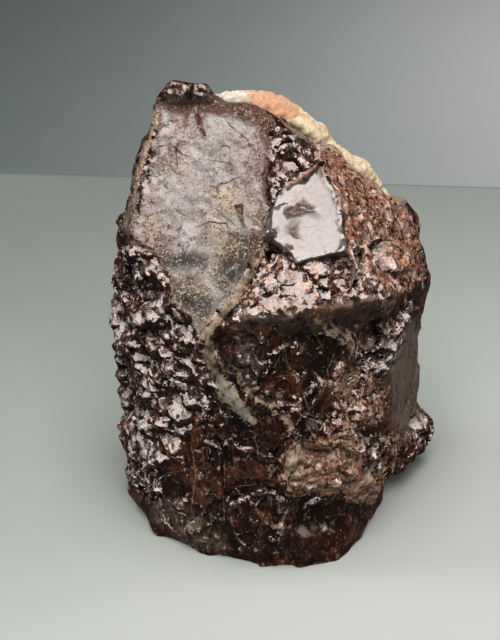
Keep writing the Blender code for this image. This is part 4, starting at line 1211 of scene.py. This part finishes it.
def crumble_rind(obj, look):
    """Swells the rind a little, so that it meets the mass, and breaks its skin into crumbs."""
    mesh = obj.data
    points, normals = points_of(mesh)
    edges = edges_of(mesh)
    points = relax(points, edges, 6)
    put_points(mesh, points)
    points, normals = points_of(mesh)
    normals = unit(relax(normals, edges, 6))
    break_up = (rumble(points, 5.0, 3, 101) * 0.55 + crumbs(points, 1.9, 103) * 0.16
                + crumbs(points, 0.95, 107) * 0.5 + shells(points, 1.0, 0.6, 0.6, 109) * 0.2)
    move = look.seat / MM - 0.75 * ramp(-1.5, -5.0, points[:, 0]) + break_up * look.crumb_depth / MM
    put_points(mesh, points + normals * move[:, None])


def paint_rind(obj):
    """Stores where the rind is stained, chalky or faces the mass."""
    mesh = obj.data
    points, normals = points_of(mesh)
    edges = edges_of(mesh)
    raised = standing_out(points, normals, edges)
    x = points[:, 0]
    stray = rumble(points, 2.0, 3, 127)
    patchy = stray * 2.0 + rumble(points, 7.0, 2, 167) * 6.0 * ramp(-0.2, 0.6, normals[:, 1])
    away = ramp(0.2, 0.8, relax(normals, edges, 12)[:, 1])
    middle = ramp(-6.0, -2.5, x + stray * 1.8) * ramp(6.5, 1.0, x + patchy) * (1.0 - 0.65 * away)
    middle += ramp(0.05, 0.5, rumble(points, 6.0, 3, 173)) * 0.55 * away
    inner = ramp(1.6, 0.0, side_of(front_plane(points), RIND_FOOT) + stray * 0.8)
    orange = rumble(points, 5.0, 3, 113) * 0.3 + middle * 0.75 + ramp(-8.0, -13.0, x) * 0.15 + 0.05
    store(mesh, "orange", orange + inner * 0.2)
    store(mesh, "inner", inner * ramp(0.2, -0.2, normals[:, 1]))
    chalk = ramp(-1.0, -5.0, x + patchy) * (1.0 - 0.6 * away)
    store(mesh, "chalk", chalk + ramp(0.1, 0.5, stray) * 0.5 * away)
    store(mesh, "raised", raised)


INNER_SALMON = (0.66, 0.42, 0.30)
GRAIN_WHITE = (1.0, 0.95, 0.82)


def chalky_finish(look):
    """Powdery weathered rind: cream crumbs, white grains, orange stain and brown pits."""
    s = Shader("weathered_feldspar")
    place = s.add("ShaderNodeTexCoord").outputs["Object"]
    orange, chalk, raised, inner = [s.attribute(n) for n in ("orange", "chalk", "raised", "inner")]
    clouds, grains = s.noise(place, 2.6, 6.0, 0.65), s.noise(place, 0.6, 4.0, 0.7)
    specks = s.noise(place, 0.3, 3.0, 0.7)
    colour = s.mix(s.between(s.plus(grains, chalk, 0.25), 0.46, 0.66), look.cream, look.chalk)
    stained = s.between(s.plus(orange, s.maths("SUBTRACT", clouds, 0.5), 1.8), 0.36, 0.66)
    colour = s.mix(s.times(stained, 0.9), colour, look.orange)
    colour = s.mix(s.times(inner, s.between(grains, 0.40, 0.56), 0.7), colour, INNER_SALMON)
    # Umber and orange laid where the rind lies deepest among its crumbs.
    pits = s.between(s.plus(raised, grains, 0.6), 0.62, 0.42)
    colour = s.mix(s.times(pits, 0.3), colour, s.mix(0.4, look.umber, look.orange))
    colour = s.mix(s.times(s.between(specks, 0.55, 0.65), 0.6), colour, GRAIN_WHITE)
    normal = s.add("ShaderNodeNewGeometry").outputs["Normal"]
    grain_lean = s.scaled(s.vector("SUBTRACT", s.cells(place, 0.6)["Color"], (0.5, 0.5, 0.5)), 0.7)
    normal = s.vector("NORMALIZE", s.vector("ADD", s.vector("ADD", normal, grain_lean), (0.0, -0.20, 0.60)))
    roughness = s.mix_value(grains, 0.7, 0.95)
    height = s.plus(grains, specks, 0.7)
    return s.finish(colour, roughness, height, normal, depth=0.3, strength=0.7, index=1.5)


class SPECIMEN_OT_rind(bpy.types.Operator):
    """Makes the pale crumbly rind on the upper back"""

    bl_idname = "specimen.rind"
    bl_label = "Pale rind"

    def execute(self, context):
        look = context.scene.specimen_rind
        obj = fine_copy("pale_rind", "weathered_rind", look.grid)
        crumble_rind(obj, look)
        thin_down(obj, look.triangles)
        paint_rind(obj)
        obj.data.shade_smooth()
        obj.data.set_sharp_from_angle(angle=radians(40.0))
        obj.data.materials.append(chalky_finish(look))
        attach(obj, "root")
        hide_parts("pale_rind")
        return {"FINISHED"}


# --- The stage ---------------------------------------------------------------------------------

TABLE_LOW = (-0.095, -0.068)  # m, the near left corner of the table top
TABLE_HIGH = (0.095, 0.125)  # m, its far right corner
TABLE_TURN = radians(-3.8)
GROUND_LOW, GROUND_HIGH = (-3.0, -3.0), (3.0, 3.0)  # m
GROUND_LEVEL = -0.25  # m, below the table top
SKY_BLUE = (0.95, 0.98, 1.0, 1.0)
CAMERA_PLACE = (-0.0034, -0.25981, 0.1835)  # m
SENSOR_HEIGHT = 36.0  # mm
FOCAL_LENGTH = 105.5  # mm
LIGHTS = {  # its power in the panel, where it stands, where it points and its size in m, and its colour
    "overhead_light": ("overhead", (0.0, -0.19, 0.55), (0.0, 0.0, 0.03), (0.34, 0.54), (1.0, 0.965, 0.95)),
    "left_light": ("left", (-0.55, 0.0, 0.30), (0.0, 0.0, 0.04), (0.20, 0.35), (1.0, 1.0, 1.0)),
    "right_light": ("right", (0.50, 0.02, 0.26), (0.0, 0.0, 0.03), (0.25, 0.35), (1.0, 0.94, 0.88)),
    "ground_light": ("ground_light", (0.36, 0.80, 0.12), (0.30, 0.80, -0.25), (0.20, 0.20), (1.0, 1.0, 1.0)),
}


def slab(name, low, high, top, thickness, round_by):
    """A slab from one corner to the other, with rounded edges."""
    bm = bmesh.new()
    bmesh.ops.create_cube(bm, size=1.0)
    size = (high[0] - low[0], high[1] - low[1], thickness)
    middle = ((high[0] + low[0]) / 2, (high[1] + low[1]) / 2, top - thickness / 2)
    bmesh.ops.scale(bm, vec=size, verts=bm.verts)
    bmesh.ops.translate(bm, vec=middle, verts=bm.verts)
    bmesh.ops.bevel(bm, geom=bm.edges, offset=round_by, segments=10, affect="EDGES", profile=0.5)
    mesh = bpy.data.meshes.new(name)
    bm.to_mesh(mesh)
    bm.free()
    mesh.shade_smooth()
    obj = bpy.data.objects.new(name, mesh)
    bpy.context.scene.collection.objects.link(obj)
    return obj


def shaded_finish(name, shade, colour, start, end, roughness):
    """A plain finish with painted shade: it runs from one colour at start to the other at end."""
    s = Shader(name)
    place = s.add("ShaderNodeTexCoord").outputs["Object"]
    way = Vector(end) - Vector(start)
    from_start = s.vector("SUBTRACT", place, tuple(start))
    along = s.vector("DOT_PRODUCT", from_start, tuple(way / way.length_squared))
    along = s.plus(along, s.maths("SUBTRACT", s.noise(place, 60.0, 3.0), 0.5), 0.12)
    s.join(s.mix(s.between(along, 0.0, 1.0), shade, colour), s.surface.inputs["Base Color"])
    s.surface.inputs["Roughness"].default_value = roughness
    return s.material


def aim(obj, target):
    obj.rotation_euler = (Vector(target) - obj.location).to_track_quat("-Z", "Y").to_euler()


def softbox(name, power, place, target, size, colour):
    light = bpy.data.lights.new(name, "AREA")
    light.shape = "RECTANGLE"
    light.size, light.size_y = size
    light.energy = power
    light.color = colour
    obj = bpy.data.objects.new(name, light)
    bpy.context.scene.collection.objects.link(obj)
    obj.location = place
    aim(obj, target)


class SPECIMEN_OT_stage(bpy.types.Operator):
    """Sets the table, the lights and the camera"""

    bl_idname = "specimen.stage"
    bl_label = "Stage"

    def execute(self, context):
        look = context.scene.specimen_stage
        scene = context.scene
        table = slab("table_top", TABLE_LOW, TABLE_HIGH, top=0.0, thickness=0.06, round_by=0.006)
        table.rotation_euler.z = TABLE_TURN
        # Painted shade: the table top darkens towards its far left corner, the ground towards its left.
        table.data.materials.append(shaded_finish(
            "table_finish", look.table_shade, look.table, (-0.085, 0.10, 0.0), (0.045, -0.05, 0.0),
            roughness=0.55))
        ground = slab("ground", GROUND_LOW, GROUND_HIGH, top=GROUND_LEVEL, thickness=0.02, round_by=0.002)
        ground.data.materials.append(shaded_finish(
            "ground_finish", look.ground_shade, look.ground, (-0.20, 0.75, 0.0), (0.18, 0.75, 0.0),
            roughness=0.8))
        for floor in (table, ground):
            floor.visible_glossy = False
        for name, (power, place, target, size, colour) in LIGHTS.items():
            softbox(name, getattr(look, power), place, target, size, colour)
        world = bpy.data.worlds.new("studio")
        world.use_nodes = True
        background = world.node_tree.nodes["Background"]
        background.inputs["Color"].default_value = SKY_BLUE
        background.inputs["Strength"].default_value = look.sky
        scene.world = world
        scene.view_settings.view_transform = "Standard"
        scene.view_settings.gamma = 1.0 / look.contrast
        lens = bpy.data.cameras.new("camera")
        lens.sensor_fit = "VERTICAL"
        lens.sensor_height = SENSOR_HEIGHT
        lens.lens = FOCAL_LENGTH
        lens.clip_start = 0.01
        camera = bpy.data.objects.new("camera", lens)
        scene.collection.objects.link(camera)
        camera.location = CAMERA_PLACE
        camera.rotation_euler = (radians(90.0) - VIEW_DOWN, 0.0, 0.0)
        scene.camera = camera
        return {"FINISHED"}


class SPECIMEN_PT_panel(bpy.types.Panel):
    """Lists the steps that dress the specimen"""

    bl_idname = "SPECIMEN_PT_panel"
    bl_label = "Samarskite Specimen"
    bl_space_type = "VIEW_3D"
    bl_region_type = "UI"
    bl_category = "Specimen"

    def draw(self, context):
        layout = self.layout
        for operator, look in (("specimen.mass", context.scene.specimen_mass),
                               ("specimen.rind", context.scene.specimen_rind),
                               ("specimen.stage", context.scene.specimen_stage)):
            box = layout.box()
            box.operator(operator)
            for name in look.__annotations__:
                box.prop(look, name)


CLASSES = (MassLook, RindLook, StageLook, SPECIMEN_OT_mass, SPECIMEN_OT_rind, SPECIMEN_OT_stage,
           SPECIMEN_PT_panel)


def register():
    for cls in CLASSES:
        bpy.utils.register_class(cls)
    bpy.types.Scene.specimen_mass = PointerProperty(type=MassLook)
    bpy.types.Scene.specimen_rind = PointerProperty(type=RindLook)
    bpy.types.Scene.specimen_stage = PointerProperty(type=StageLook)


def unregister():
    del bpy.types.Scene.specimen_stage
    del bpy.types.Scene.specimen_rind
    del bpy.types.Scene.specimen_mass
    for cls in reversed(CLASSES):
        bpy.utils.unregister_class(cls)


def main():
    register()
    bpy.ops.specimen.stage()
    bpy.ops.specimen.mass()
    bpy.ops.specimen.rind()


if __name__ == "__main__":
    main()
